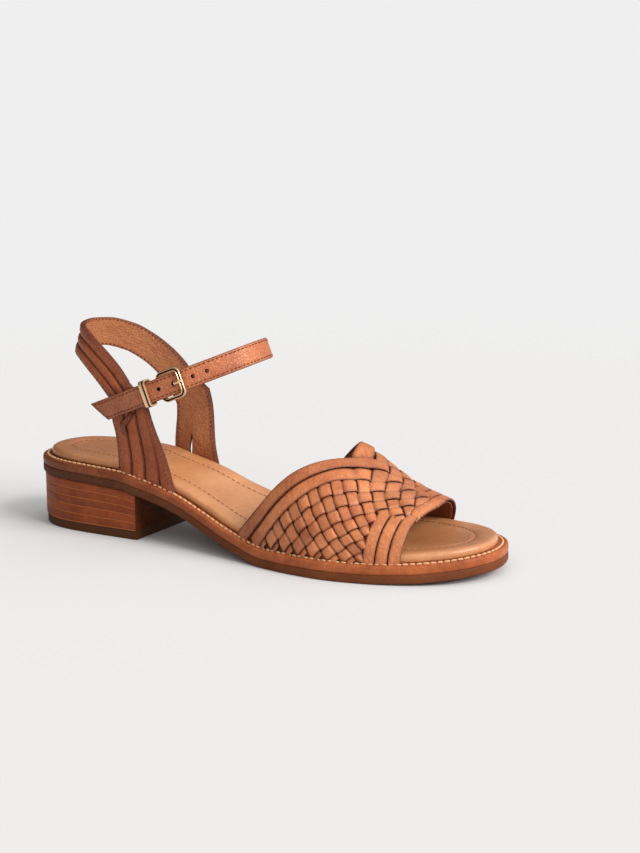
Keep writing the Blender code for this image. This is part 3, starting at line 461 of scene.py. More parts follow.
def noise(tree, where, scale, detail=4.0, rough=0.55):
    inputs = {"Vector": where, "Scale": scale, "Detail": detail, "Roughness": rough}
    return node(tree, "ShaderNodeTexNoise", inputs).outputs["Fac"]


def span(tree, value, low, high, smooth=False, **to):
    """A value spread from low..high to 0..1, or to the range named."""
    inputs = {"Value": value, "From Min": low, "From Max": high}
    inputs.update({"To Min": to.get("to_min", 0.0), "To Max": to.get("to_max", 1.0)})
    kind = "SMOOTHSTEP" if smooth else "LINEAR"
    return node(tree, "ShaderNodeMapRange", inputs, interpolation_type=kind).outputs[0]


def mix(tree, fac, a, b, mode="MIX"):
    return node(tree, "ShaderNodeMix", {0: fac, 6: a, 7: b}, data_type="RGBA", blend_type=mode).outputs[2]


def bump(tree, height, strength, depth):
    inputs = {"Height": height, "Strength": strength, "Distance": depth * MM}
    return node(tree, "ShaderNodeBump", inputs).outputs[0]


def srgb(colour, gain=1.0):
    """Linear colour from 0-255 display values, made lighter or darker by a gain."""
    out = []
    for c in colour:
        c = c / 255.0
        c = c / 12.92 if c <= 0.04045 else ((c + 0.055) / 1.055) ** 2.4
        out.append(min(c * gain, 1.0))
    return (*out, 1.0)


def make_grain():
    """Leather: raised pebbles with creases between, fine pores, soft folds."""
    tree, given, result = group(
        "ShaderNodeTree", "leather_grain",
        (("Vector", "Vector"), ("Pebble Scale", "Float", 700.0), ("Pebble", "Float", 1.0),
         ("Pore", "Float", 0.3), ("Fold", "Float", 0.3)),
        (("Height", "Float"), ("Tone", "Float"), ("Crease", "Float")),
    )
    where = given["Vector"]
    bend = node(tree, "ShaderNodeTexNoise", {"Vector": where, "Scale": 260.0}).outputs["Color"]
    shift = {0: bend, 1: (0.0012, 0.0012, 0.0012), 2: where}
    bent = node(tree, "ShaderNodeVectorMath", shift, operation="MULTIPLY_ADD").outputs[0]
    cells = {"Vector": bent, "Scale": given["Pebble Scale"]}
    gap = node(tree, "ShaderNodeTexVoronoi", cells, feature="DISTANCE_TO_EDGE").outputs["Distance"]
    pebble = span(tree, gap, 0.0, 0.26, smooth=True)
    height = calc(tree, "MULTIPLY", pebble, given["Pebble"])
    for share, scale, detail in (("Pore", 3600.0, 2.0), ("Fold", 150.0, 3.0)):
        more = calc(tree, "MULTIPLY", noise(tree, where, scale, detail), given[share])
        height = calc(tree, "ADD", height, more)
    wide = calc(tree, "MULTIPLY", noise(tree, where, 55.0, 3.0), 0.62)
    small = calc(tree, "MULTIPLY", noise(tree, where, 420.0, 4.0, 0.65), 0.38)
    tone = span(tree, calc(tree, "ADD", wide, small), 0.36, 0.64)
    crease = calc(tree, "MULTIPLY", calc(tree, "SUBTRACT", 1.0, pebble), given["Pebble"])
    feed(tree, result, {"Height": height, "Tone": tone, "Crease": crease})
    return tree


GRAIN = make_grain()


def new_material(name):
    mat = bpy.data.materials.new(name)
    mat.use_nodes = True
    tree = mat.node_tree
    return mat, tree, tree.nodes["Principled BSDF"], node(tree, "ShaderNodeTexCoord").outputs["Object"]


def leather(name, light, dark, wear_and_shade, rough, pebble, scale=700.0, pore=0.3, fold=0.3, depth=0.22,
            crease=0.35, coat=0.06, spec=0.38):
    """Grained leather: a mesh's edge attribute darkens it towards the third colour, for burnished edges and
    for painted shade; the grain's creases darken towards it too; its tone attribute lighter.
    """
    mat, tree, surface, where = new_material(name)
    sizes = {"Vector": where, "Pebble Scale": scale, "Pebble": pebble, "Pore": pore, "Fold": fold}
    grain = node(tree, "ShaderNodeGroup", sizes, node_tree=GRAIN).outputs
    tone = node(tree, "ShaderNodeAttribute", attribute_name="tone").outputs["Fac"]
    rim = node(tree, "ShaderNodeAttribute", attribute_name="edge").outputs["Fac"]
    colour = mix(tree, grain["Tone"], srgb(dark), srgb(light))
    colour = mix(tree, 1.0, colour, calc(tree, "MULTIPLY_ADD", tone, 0.34, 0.83), "MULTIPLY")
    colour = mix(tree, calc(tree, "MULTIPLY", grain["Crease"], crease, clamp=True), colour, srgb(wear_and_shade))
    uneven = calc(tree, "ADD", noise(tree, where, 500.0, 3.0), 0.45)
    # edge attribute: burnished edges, and painted shade where a piece paints it
    colour = mix(tree, calc(tree, "MULTIPLY", rim, uneven, clamp=True), colour, srgb(wear_and_shade))
    gloss = calc(tree, "MULTIPLY_ADD", grain["Tone"], -0.10, rough + 0.05)
    gloss = calc(tree, "ADD", gloss, calc(tree, "MULTIPLY", grain["Crease"], 0.15))
    feed(tree, surface, {
        "Base Color": colour, "Roughness": gloss, "Normal": bump(tree, grain["Height"], 0.8, depth),
        "Specular IOR Level": spec, "Coat Weight": coat, "Coat Roughness": 0.35,
    })
    return mat


def plain(name, colour, rough, metal=0.0, scale=1200.0, depth=0.05, spread=0.18, spec=0.5):
    """Metal, rubber and thread: one colour with its own fine unevenness."""
    mat, tree, surface, where = new_material(name)
    fine = noise(tree, where, scale, 3.0)
    wide = noise(tree, where, scale * 0.09, 2.0)
    both = calc(tree, "MULTIPLY", calc(tree, "ADD", fine, wide), 0.5)
    feed(tree, surface, {
        "Base Color": mix(tree, both, srgb(colour, 1.0 - spread), srgb(colour, 1.0 + spread)),
        "Roughness": calc(tree, "MULTIPLY_ADD", fine, 0.16, rough - 0.08),
        "Normal": bump(tree, fine, 0.7, depth), "Metallic": metal, "Specular IOR Level": spec,
    })
    return mat


TAN_LIGHT = (206, 129, 80)
TAN_DARK = (166, 89, 49)
# dark colour of burnished edges, and of the painted shade on the strips and quarter
BURNISH_AND_SHADE = (84, 34, 14)
# depths of grain are in millimetres, scales in cells to the metre
M = {
    "strip": leather(
        "strip_leather", TAN_LIGHT, TAN_DARK, BURNISH_AND_SHADE,
        rough=0.42, pebble=0.22, scale=900.0, fold=0.6, coat=0.1, spec=0.45),
    "edge_strip": leather(
        "edge_strip_leather", TAN_LIGHT, TAN_DARK, BURNISH_AND_SHADE,
        rough=0.46, pebble=0.45, scale=560.0, fold=0.6, depth=0.28, crease=0.22),
    "quarter": leather(
        "quarter_leather", (168, 89, 51), (132, 64, 34), BURNISH_AND_SHADE,
        rough=0.46, pebble=0.45, scale=640.0, fold=0.7, depth=0.28, crease=0.25, coat=0.03, spec=0.26),
    "lining": leather(
        "lining_leather", (184, 121, 79), (156, 93, 57), (118, 62, 34),
        rough=0.46, pebble=0.4, scale=520.0, pore=0.4, fold=1.2, depth=0.45, crease=0.16),
    "vamp_lining": leather(
        "vamp_lining_leather", (168, 96, 54), (136, 70, 36), (90, 40, 20),
        rough=0.6, pebble=0.4, scale=600.0, pore=0.4, fold=0.8, depth=0.3, crease=0.2),
    "strap": leather(
        "strap_leather_grained", (200, 118, 70), (164, 84, 46), BURNISH_AND_SHADE, rough=0.4,
        pebble=0.8, scale=640.0, pore=0.25, fold=0.5, depth=0.32, crease=0.2, coat=0.12, spec=0.5),
    "insole": leather(
        "insole_leather_smooth", (201, 142, 95), (182, 118, 74), (132, 72, 38), rough=0.4,
        pebble=0.12, pore=0.28, fold=0.5, depth=0.18, crease=0.15, coat=0.2, spec=0.5),
    "welt": leather(
        "welt_leather_edge", (198, 110, 62), (148, 73, 38), (74, 34, 16), rough=0.44,
        pebble=0.25, scale=500.0, pore=0.5, fold=0.7, crease=0.3, coat=0.04, spec=0.18),
    "heel": leather(
        "heel_leather_stack", (144, 69, 34), (104, 46, 21), (40, 17, 9), rough=0.46,
        pebble=0.15, scale=500.0, pore=0.6, fold=0.5, depth=0.14, crease=0.3, coat=0.0, spec=0.16),
    # painted shade: the heel's breast dark where the arch shades it
    "breast": leather(
        "heel_breast_leather", (104, 50, 22), (64, 28, 12), (36, 16, 8), rough=0.6,
        pebble=0.2, scale=500.0, pore=0.6, fold=0.6, depth=0.16, crease=0.3, coat=0.0, spec=0.08),
    "rubber": leather(
        "outsole_rubber", (124, 68, 35), (102, 54, 28), (56, 34, 20), rough=0.62,
        pebble=0.1, pore=0.5, depth=0.1, crease=0.1, coat=0.0, spec=0.15),
    "top_lift": plain("top_lift_rubber", (76, 45, 23), 0.62, scale=900.0, depth=0.08, spec=0.12),
    "heel_line": plain("heel_line", (164, 94, 56), 0.6, spec=0.15),
    # cut edges, and the painted shade in the strap's holes
    "cut": plain("cut_edge", (52, 25, 14), 0.8, spec=0.1),
    "metal": plain("pale_brass", (236, 198, 154), 0.24, 1.0, 1500.0, depth=0.003, spread=0.05),
    "channel": plain("brass_shade", (58, 40, 24), 0.5, 0.0, 1500.0, depth=0.01, spread=0.05, spec=0.3),
    "cream": plain("cream_thread", (214, 162, 118), 0.75, scale=2600.0, depth=0.1),
    "brown": plain("brown_thread", (92, 38, 18), 0.7, scale=2600.0, depth=0.1),
    "tan": plain("tan_thread", (142, 82, 46), 0.7, scale=2600.0, depth=0.1),
}

# Sole

QS = np.linspace(0.0, 1.0, 181)


def insole_dish(x, t):
    """Foot bed: a little lower along its middle, with soft prints of heel, ball and toes."""
    across = math.sin(math.pi * t)
    s = x / SOLE_LENGTH
    heel = math.exp(-((s - 0.13) / 0.10) ** 2) * across ** 2
    ball = math.exp(-((s - 0.70) / 0.09) ** 2) * across ** 2
    toe = math.exp(-((s - 0.90) / 0.05) ** 2) * across ** 3
    wave = 0.10 * math.sin(x * 0.21 + 3.0 * t) * across
    return -0.5 * heel - 0.5 * ball - 0.45 * toe + wave * 0.6


def build_sole():
    pts, faces = slab_mesh(QS, over(
        floor_line, 0.0, (0.9, 0.0), (0.35, 0.2), (0.05, 0.7), (0.0, 1.4), (0.0, 3.2), (0.15, 3.8),
        (0.5, OUTSOLE_THICK + 0.15)))
    # painted shade: the outsole darker towards the heel
    wear_and_shade = np.interp(pts[:, 0], (40.0, 140.0), (0.65, 0.0))
    piece("outsole_body", pts, faces, ["rubber"], "sole_rubber", {"edge": wear_and_shade}, stands_for=("outsole",))
    pts, faces = slab_mesh(QS, over(
        welt_under, 0.0, (0.6, -0.1), (0.2, 0.25), (0.05, 0.9), (0.0, 2.0), (0.05, 3.1), (0.25, 3.75),
        (0.7, 4.1), (1.3, WELT_THICK), (1.9, 4.15), (2.5, 3.85), (3.3, 4.1), (4.2, WELT_THICK)))
    # painted shade: the welt darker towards the heel
    wear_and_shade = np.interp(pts[:, 0], (30.0, 150.0), (0.68, 0.0))
    piece("welt_body", pts, faces, ["welt"], "welt_leather", {"edge": wear_and_shade}, stands_for=("welt",))


def build_insole():
    rings = over(
        insole_under, INSOLE_INSET, (0.4, -0.15), (0.05, 0.4), (0.0, 1.2), (0.05, 2.2), (0.4, 3.1),
        (1.1, 3.65), (2.2, 3.92), (3.6, 4.0), (6.0, 4.05), (8.2, 3.9), (9.4, 3.62), (10.0, 3.36),
        (10.6, 3.56), (12.0, 3.72))
    pts, faces = slab_mesh(QS, rings, columns=22, dish=insole_dish)
    s = pts[:, 0] / SOLE_LENGTH
    half = np.abs(pts[:, 1]) / BALL_LATERAL
    # painted shade towards the heel, under the quarter and strap; the toe seat darker with wear, and the heel
    # seat darker too
    wear_and_shade = np.interp(pts[:, 0], (20.0, 75.0), (0.3, 0.0))
    wear_and_shade += 0.45 * np.exp(-((s - 0.89) / 0.07) ** 2 - (half / 0.42) ** 2)
    wear_and_shade += 0.30 * np.exp(-((s - 0.12) / 0.12) ** 2 - (half / 0.5) ** 2)
    attrs = {"edge": wear_and_shade, "tone": np.full(len(pts), 0.55)}
    ob = piece(
        "insole_pad", pts, faces, ["insole"], "insole_leather", attrs, sharp=70.0, stands_for=("insole",))


build_sole()
build_insole()

# Heel

BREAST = q_at(HEEL_LENGTH)
HEEL_QS = np.append(QS[QS < BREAST - 0.002], BREAST)


def lift_plane(share):
    return lambda x: lerp(TOP_LIFT, floor_line(x), share)


def build_heel():
    pts, faces = slab_mesh(HEEL_QS, over(
        lift_plane(0.0), HEEL_INSET, (0.9, -TOP_LIFT), (0.6, -TOP_LIFT + 0.25), (0.5, -TOP_LIFT + 0.8),
        (0.5, -0.6), (0.7, -0.2)), blunt=HEEL_LENGTH)
    piece("top_lift_body", pts, faces, ["top_lift"], "heel_rubber", stands_for=("top_lift",))
    lines = Parts()
    for k in range(LIFT_COUNT):
        low = lift_plane(k / LIFT_COUNT)
        high = lift_plane((k + 1) / LIFT_COUNT)
        rings = over(low, HEEL_INSET, (0.3, 0.0), (0.04, 0.3), (0.0, 0.8))
        rings += over(high, HEEL_INSET, (0.0, -BOND_GAP - 0.8), (0.04, -BOND_GAP - 0.3), (0.3, -BOND_GAP))
        pts, faces = slab_mesh(HEEL_QS, rings, blunt=HEEL_LENGTH)
        tone = {"tone": np.full(len(pts), 0.5 + 0.35 * math.sin(2.1 * k))}
        name = "heel_lift_body_%d" % (k + 1)
        piece(name, pts, faces, ["heel"], "heel_leather", tone, stands_for=("heel_lift_%d" % (k + 1),))
        rings = over(low, HEEL_INSET, (0.25, -0.42), (0.12, -0.28), (0.12, 0.03), (0.25, 0.17))
        lines.add(*slab_mesh(HEEL_QS, rings, blunt=HEEL_LENGTH - 0.4))
    lines.make("heel_lines", ["heel_line"], "heel_leather")


def build_breast():
    """The thin leather over the heel's front face, dark as painted shade under the arch."""
    lateral, medial = (float(edge_in(BREAST, side, HEEL_INSET)[1]) for side in (-1, 1))
    low = TOP_LIFT - 0.2
    high = float(floor_line(HEEL_LENGTH)) - 0.3
    section = (
        (0.0, low), (0.3, low + 0.05), (0.42, low + 0.4), (0.42, lerp(low, high, 0.5)),
        (0.42, high - 0.4), (0.3, high - 0.05), (0.0, high),
    )
    last = 24
    pts = []
    for k in range(last + 1):
        y = lerp(lateral + 0.05, medial - 0.05, k / last)
        thin = 0.55 if k in (0, last) else 1.0
        pts += [(HEEL_LENGTH + 0.02 + x * thin, y, z) for x, z in section]
    piece("heel_breast", pts, tube_faces(last + 1, len(section)), ["breast"], "heel_leather")


build_heel()
build_breast()

# Vamp

BACK_RUN = SOLE_LENGTH * (VAMP_BACK_TOP - VAMP_BACK_SIDE)
BACK_SLANT = math.hypot(BACK_RUN, VAMP_GIRTH)
BAND = TOE_STRIPS * TOE_STRIP_WIDTH
STRIP_THICK = 1.15
STRIP_WIDTH = 5.35
BACK_STRIP_WIDTH = 5.7
STRIP_REACH = 130.0
STRIP_STEP = 0.6
STRIP_COUNT = 16
MEDIAL_TOE_STRIP_END = 0.12
# height of the weave's middle over the inner face, and how far strips swing above and below it
MID = (WALL + STRIP_RISE) / 2.0
SWING = 0.82
# half of a strip's section and of its underside, edge first: across, height, how burnished
STRIP_SIDE = ((1.0, 0.10, 1.0), (0.96, 0.52, 0.9), (0.86, 0.80, 0.45), (0.66, 0.94, 0.06), (0.33, 0.99, 0.0))
STRIP_UNDER = ((0.92, -0.5, 1.0), (0.45, -0.52, 1.0))
SECTION = np.array((
    *((-a, h, wear_and_shade) for a, h, wear_and_shade in STRIP_SIDE), (0.0, 1.0, 0.0), *reversed(STRIP_SIDE),
    *STRIP_UNDER, *((-a, h, wear_and_shade) for a, h, wear_and_shade in reversed(STRIP_UNDER)),
))


def vamp_inner(x, s):
    """The vamp's inner face at x and share s across, from -1 outside to 1 inside."""
    left = -side_y(x, -1)
    right = side_y(x, 1)
    half = (right - left) / 2.0
    mid = (right + left) / 2.0
    base = welt_top(x) + 0.05
    rise = BOND_GAP * 2.0 - 0.05 + SOLE_LENGTH * crown_of(x / SOLE_LENGTH)
    phi = np.pi * (s + STRIP_FAN * s * (1.0 - np.abs(s)) + 1.0) / 2.0
    arch = np.clip(np.sin(phi), 0.0, 1.0) ** CROWN_FULLNESS
    reach = np.sign(np.cos(phi)) * np.abs(np.cos(phi)) ** 0.8
    along = np.clip((x / SOLE_LENGTH - VAMP_BACK_SIDE) / (VAMP_FRONT_TOP - VAMP_BACK_SIDE), 0.0, 1.0)
    skew = lerp(CROWN_SKEW_BACK, CROWN_SKEW_FRONT, along)
    return np.stack((x, mid - half * reach + skew * arch ** 3, base + rise * arch), -1)


def vamp_at(x, s, out):
    """A point over the vamp's inner face, square to it except near the welt."""
    x = np.asarray(x, float)
    s = np.clip(np.asarray(s, float), -1.0, 1.0)
    near = np.clip(s, -0.985, 0.985)
    along = vamp_inner(x + 0.5, near) - vamp_inner(x - 0.5, near)
    across = vamp_inner(x, near + 0.01) - vamp_inner(x, near - 0.01)
    n = unit(np.cross(along, across))
    n[..., 2] *= 1.0 - np.clip((np.abs(s) - 0.9) / 0.1, 0.0, 1.0)
    return vamp_inner(x, s) + unit(n) * np.asarray(out)[..., None]


def vamp_front(s):
    side = np.where(np.asarray(s) < 0.0, VAMP_FRONT_LATERAL, VAMP_FRONT_MEDIAL)
    return SOLE_LENGTH * lerp(VAMP_FRONT_TOP, side, np.abs(s))


def lattice(family, near, along):
    """x and s of a point: near is its distance to the family's own back edge, along to the other's."""
    x = SOLE_LENGTH * VAMP_BACK_TOP + (along + near) * BACK_SLANT / (2.0 * VAMP_GIRTH)
    turn = along - near if family == "lateral" else near - along
    return x, turn * BACK_SLANT / (2.0 * BACK_RUN) / VAMP_GIRTH


def ribbon(store, place, ts, height, width, thick, tone, depth=0.0):
    """A strip along ts: place(t, across mm, out) gives points; depth paints shade on it, and painted shade
    darkens it towards the heel.
    """
    across, lift, burn = SECTION.T
    T, A = np.meshgrid(ts, across, indexing="ij")

    def spread(value):
        return np.broadcast_to(np.asarray(value)[..., None] if np.ndim(value) else value, T.shape)
    pts = place(T, A * spread(width) / 2.0, spread(height) + lift * spread(thick) / 2.0)
    # painted shade: strips darker towards the heel, from 172 mm back to 115 mm
    painted_back_shade = np.interp(pts[..., 0], (115.0, 172.0), (0.6, 0.0))
    # edge attribute: the section's burnished edges plus the painted shade
    wear_and_shade = np.clip(burn + 0.7 * spread(depth) + painted_back_shade, 0.0, 1.0)
    store.add(pts, tube_faces(len(ts), len(SECTION)), edge=wear_and_shade.reshape(-1), tone=tone)


def woven(along, sign):
    """Height of a strip's middle over and under those it crosses."""
    wave = np.sin(np.pi * along / STRIP_PITCH) * sign
    return SWING * np.tanh(2.0 * wave) / math.tanh(2.0)


def toe_end(s):
    """How near the middle the toe strips come on each side."""
    return np.where(np.asarray(s) < 0.0, TOE_STRIP_END, MEDIAL_TOE_STRIP_END)


def inside(x, s):
    """Where a strip may run: up to the toe strips, or to the opening's edge between them."""
    between = vamp_front(s) + np.where(np.abs(s) < toe_end(s) - 0.03, -1.4, -2.5)
    limit = np.where(np.abs(s) < toe_end(s) + 0.07, between, vamp_front(s) - BAND + 3.2)
    return (np.abs(s) <= 1.0) & (x <= limit)


def strip_run(family, coord, start):
    """The stretch of a strip that is on the vamp."""
    t = np.arange(start, STRIP_REACH, STRIP_STEP)
    ok = inside(*lattice(family, coord, t))
    if not ok.any():
        return t[:0]
    first = int(np.argmax(ok))
    rest = ok[first:]
    return t[first:] if rest.all() else t[first:first + int(np.argmin(rest))]


def weave_strip(family, k):
    """Strip k of a family; strips 0 and 1 run along its own side of the vamp's back edge."""
    p = STRIP_PITCH
    back = k in (0, 1)
    outer = family == "lateral"
    coord = (k + 0.5) * p
    ts = strip_run(family, coord, -STRIP_REACH if k >= 0 else 1.2 * p)
    if len(ts) < 6:
        return
    sign = (1.0 if k % 2 else -1.0) * (1.0 if outer else -1.0)
    height = MID + woven(ts, sign)
    if k == 0:
        # at the peak the outer strip passes over, the inner one under
        first = smooth_step((ts + 0.35 * p) / (0.3 * p)) * smooth_step((1.35 * p - ts) / (0.3 * p))
        height = lerp(height, MID + (SWING if outer else -SWING), first)
    if back:
        flat = smooth_step(-ts / (0.8 * p) + 0.35)
        height = lerp(height, MID + (0.42 if k == 0 else 0.22), flat)
    if k < 0:
        start = 2.0 * SWING * smooth_step((ts - 1.72 * p) / (0.55 * p))
        height = np.minimum(height, MID - SWING - 0.15 + start)
    x, s = lattice(family, coord, ts)
    # ends go down under the toe strips
    under = smooth_step((x - (vamp_front(s) - BAND - 1.2)) / 2.6)
    under = under * smooth_step((np.abs(s) - toe_end(s) + 0.03) / 0.06)
    height = lerp(height, MID - 0.94, under)
    # painted shade: the strip darkens as it dips under those it crosses
    depth = smooth_step((MID + 0.15 - height) / SWING)
    width = STRIP_WIDTH * (1.0 + RNG.uniform(-0.03, 0.03)) + 0.25 * (height - MID)
    aside = 0.0 * ts
    if back:
        width = np.maximum(width, BACK_STRIP_WIDTH)
    if back and not outer:
        # the inner side's strips stand up off the peak, and lose the painted shade there
        reach = np.where(ts < -1.2 * p, 3.2 * p, 1.35 * p)
        rise = np.exp(-((ts + 1.2 * p) / reach) ** 2)
        height = height + (2.5 if k == 0 else 1.0) * rise
        depth = depth * (1.0 - rise)
    if k == 0 and not outer:
        # and the first bows back where it goes under
        aside = -1.3 * np.exp(-((ts + 0.5 * p) / (1.3 * p)) ** 2)
        width = width - 1.6 * aside
    phase = RNG.uniform(0.0, 6.0)
    wobble = 0.2 * np.sin(ts * 0.11 + phase) * np.clip(1.0 - np.abs(s), 0.0, 1.0) + aside

    def place(t, across, out):
        return vamp_at(*lattice(family, coord + across + wobble[:, None], t), out)
    store = EDGES if back else WEAVE
    ribbon(store, place, ts, height, width, STRIP_THICK, RNG.uniform(0.0, 1.0), depth)


def build_tab():
    """The raw-cut strip end that makes the top of the toe opening."""
    ts = np.linspace(-0.27, 0.125, 60)

    def place(t, across, out):
        torn = np.where(across > 1.5, 0.16 * np.sin(t * 190.0) + 0.12 * np.sin(t * 431.0), 0.0)
        narrow = 1.0 - 0.35 * smooth_step((-0.16 - t) / 0.1)
        return vamp_at(vamp_front(t) - 1.9 + across * narrow + torn, t, out - 0.2 * np.clip(across, 0.0, 3.0))
    height = MID + 1.0 - 1.5 * smooth_step((-0.17 - ts) / 0.09)
    ribbon(EDGES, place, ts, height, 6.0, 1.5, 0.75)


def toe_strip(side, k):
    """One of the strips that edge the toe opening, counted from its rim."""
    off = (k + 0.5) * TOE_STRIP_WIDTH
    end = float(toe_end(side)) - (0.10 if k == 0 else 0.05) * (1.0 if side < 0.0 else 0.4)
    ts = np.linspace(1.0, end, 90)
    tuck = smooth_step((end + 0.035 - ts) / 0.035) * (k > 0)

    def place(t, across, out):
        return vamp_at(vamp_front(side * t) - off + across, side * t, out)
    height = MID + 0.4 - 1.45 * tuck
    ribbon(EDGES, place, ts, height, TOE_STRIP_WIDTH - 0.25, 1.35 - 0.8 * tuck, RNG.uniform(0.2, 0.9))


def build_vamp_lining():
    """A thin closed sheet under the weave."""
    n, m = 60, 81
    U, S = np.meshgrid(np.linspace(0.0, 1.0, n), np.linspace(-1.0, 1.0, m), indexing="ij")
    back = SOLE_LENGTH * lerp(VAMP_BACK_TOP, VAMP_BACK_SIDE, np.abs(S)) + 1.2
    X = lerp(back, vamp_front(S) - 1.2, U)
    pts = np.concatenate([vamp_at(X, S, np.full(X.shape, out)).reshape(-1, 3) for out in (0.35, -0.05)])
    under = n * m
    faces = []
    for i in range(n - 1):
        for a in range(i * m, i * m + m - 1):
            faces.append((a, a + 1, a + m + 1, a + m))
            faces.append((under + a, under + a + m, under + a + m + 1, under + a + 1))
    rim = [i * m for i in range(n)] + [(n - 1) * m + j for j in range(1, m)]
    rim += [i * m + m - 1 for i in range(n - 2, -1, -1)] + list(range(m - 2, 0, -1))
    faces += [(a, b, under + b, under + a) for a, b in zip(rim, rim[1:] + rim[:1])]
    attrs = {"edge": np.full(len(pts), 0.3), "tone": np.full(len(pts), 0.4)}
    piece("vamp_lining", pts, faces, ["vamp_lining"], "upper_leather", attrs, sharp=60.0)


WEAVE = Parts()
EDGES = Parts()
for FAMILY in ("lateral", "medial"):
    for K in range(-STRIP_COUNT, STRIP_COUNT + 1):
        weave_strip(FAMILY, K)
for SIDE in (-1.0, 1.0):
    for K in range(TOE_STRIPS):
        toe_strip(SIDE, K)
build_tab()
WEAVE.make("vamp_weave", ["strip"], "upper_leather", stands_for=("vamp",), sharp=75.0)
EDGES.make("vamp_edge_strips", ["edge_strip"], "upper_leather", sharp=75.0)
build_vamp_lining()

# Quarter


def ankle_half(x, turn, z, side):
    """Half width between the legs: the sole's outline below, the ankle's own above."""
    rise = (z - SEAT) / LOOP_RISE
    return lerp(side_y(x, side), ANKLE_HALF * ankle_of(rise) * turn, smooth_step(rise / ANKLE_FULL))


def heel_back(z):
    return lerp(HEEL_BACK_LOW, HEEL_BACK_HIGH, np.clip((z - SEAT) / LOOP_RISE, 0.0, 1.3))


def ankle_at(r, z, out):
    """A point at run r round the heel, negative on the outer side, moved out from the inner face."""
    side = np.where(r >= 0.0, 1.0, -1.0)
    a = np.abs(r)
    th = np.minimum(a / ANKLE_X, 1.0) * np.pi / 2.0
    depth = ANKLE_X - heel_back(z)
    x = np.where(a < ANKLE_X, ANKLE_X - depth * np.cos(th), a)
    half = np.where(side > 0, ankle_half(x, np.sin(th), z, 1), ankle_half(x, np.sin(th), z, -1))
    nx = -np.cos(th) / depth
    ny = np.sin(th) / ANKLE_HALF
    n = np.hypot(nx, ny)
    return np.stack((x + nx / n * out, side * (half + ny / n * out), z + 0.0 * x), -1)


def leg_row(side, t):
    """Row across a leg at share t of its height."""
    rear_of, front_of, table, top = leg_of[side]
    rear = ANKLE_X * float(rear_of(t))
    front = ANKLE_X * float(front_of(t))

    def at(c):
        foot = insole_under(ANKLE_X * lerp(table[0][1], table[0][2], c)) - 0.2
        head = SEAT + LOOP_RISE * top + lerp(-LEG_SLANT, LEG_SLANT, c)
        return side * lerp(rear, front, c), lerp(foot, head, t)
    return at


def loop_row(run):
    """Row across the heel loop, square to its middle line."""
    def middle(v):
        return v * ANKLE_X, SEAT + LOOP_RISE * float(loop_of[-1 if v < 0.0 else 1](abs(v)))
    r, z = middle(run)
    a = middle(run - 0.02)
    b = middle(run + 0.02)
    n = math.hypot(b[0] - a[0], b[1] - a[1])
    tr = (b[0] - a[0]) / n
    tz = (b[1] - a[1]) / n

    def at(c):
        w = LOOP_WIDTH * (c - 0.5)
        return r - tz * w, z + tr * w
    return at


def quarter_rows(legs, loops):
    """Rows across the quarter: a function of the share across, the side, and how far down a leg."""
    rows = [(leg_row(-1, i / legs), -1, 1.0 - i / legs) for i in range(legs + 1)]
    for i in range(loops + 1):
        run = lerp(-LOOP_LATERAL[-1][0], LOOP_MEDIAL[-1][0], i / loops)
        rows.append((loop_row(run), -1 if run < 0.0 else 1, 0.0))
    return rows + [(leg_row(1, 1.0 - i / legs), 1, i / legs) for i in range(legs + 1)]


def strip_height(u):
    """Height across one strip, u from 0 to 1: a soft pillow, raised at one side like a shingle."""
    pillow = np.clip(np.sin(np.pi * np.clip(u, 0.0, 1.0)), 0.0, 1.0) ** 0.42
    return pillow * lerp(0.62, 1.0, u)


def bake(ob):
    """Puts the modifiers' result into the mesh and clears them."""
    bpy.context.view_layer.update()
    dg = bpy.context.evaluated_depsgraph_get()
    mesh = bpy.data.meshes.new_from_object(ob.evaluated_get(dg), preserve_all_data_layers=True, depsgraph=dg)
    ob.modifiers.clear()
    ob.data = mesh


def cut_away(ob, *prisms):
    """Cuts prisms, each given by its two end rings in millimetres, out of a piece."""
    cutters = []
    for i, (low, high) in enumerate(prisms):
        n = len(low)
        faces = [tuple(range(n)), tuple(reversed(range(n, 2 * n)))]
        faces += [(j, j + n, (j + 1) % n + n, (j + 1) % n) for j in range(n)]
        mesh = new_mesh("cut_%d" % i, [*low, *high], [], faces)
        face_outwards(mesh)
        mesh.materials.append(M["cut"])
        cutters.append(new_object("cut_%d" % i, mesh))
        mod = ob.modifiers.new("cut_%d" % i, "BOOLEAN")
        mod.operation = "DIFFERENCE"
        mod.solver = "EXACT"
        mod.material_mode = "TRANSFER"
        mod.object = cutters[-1]
    bake(ob)
    for cutter in cutters:
        bpy.data.objects.remove(cutter)


def quarter_outer(side, k):
    """Cuts between the strips, and the outer surface's height across them."""
    grooves = GROOVE_LATERAL if side < 0 else GROOVE_MEDIAL
    cuts = [0.0] + [lerp(loop, foot, k) for foot, loop in grooves] + [1.0]
    deep = [1.0, 1.0, 1.0, k if side < 0 else 0.15, 1.0]

    def height(i, u):
        keep = deep[i] if u < 0.5 else deep[i + 1]
        return lerp(0.96, float(strip_height(u)), keep), keep

    def out(i, u):
        return WALL - 0.7 + (STRIP_RISE + 0.75) * height(i, u)[0]
    return cuts, height, out


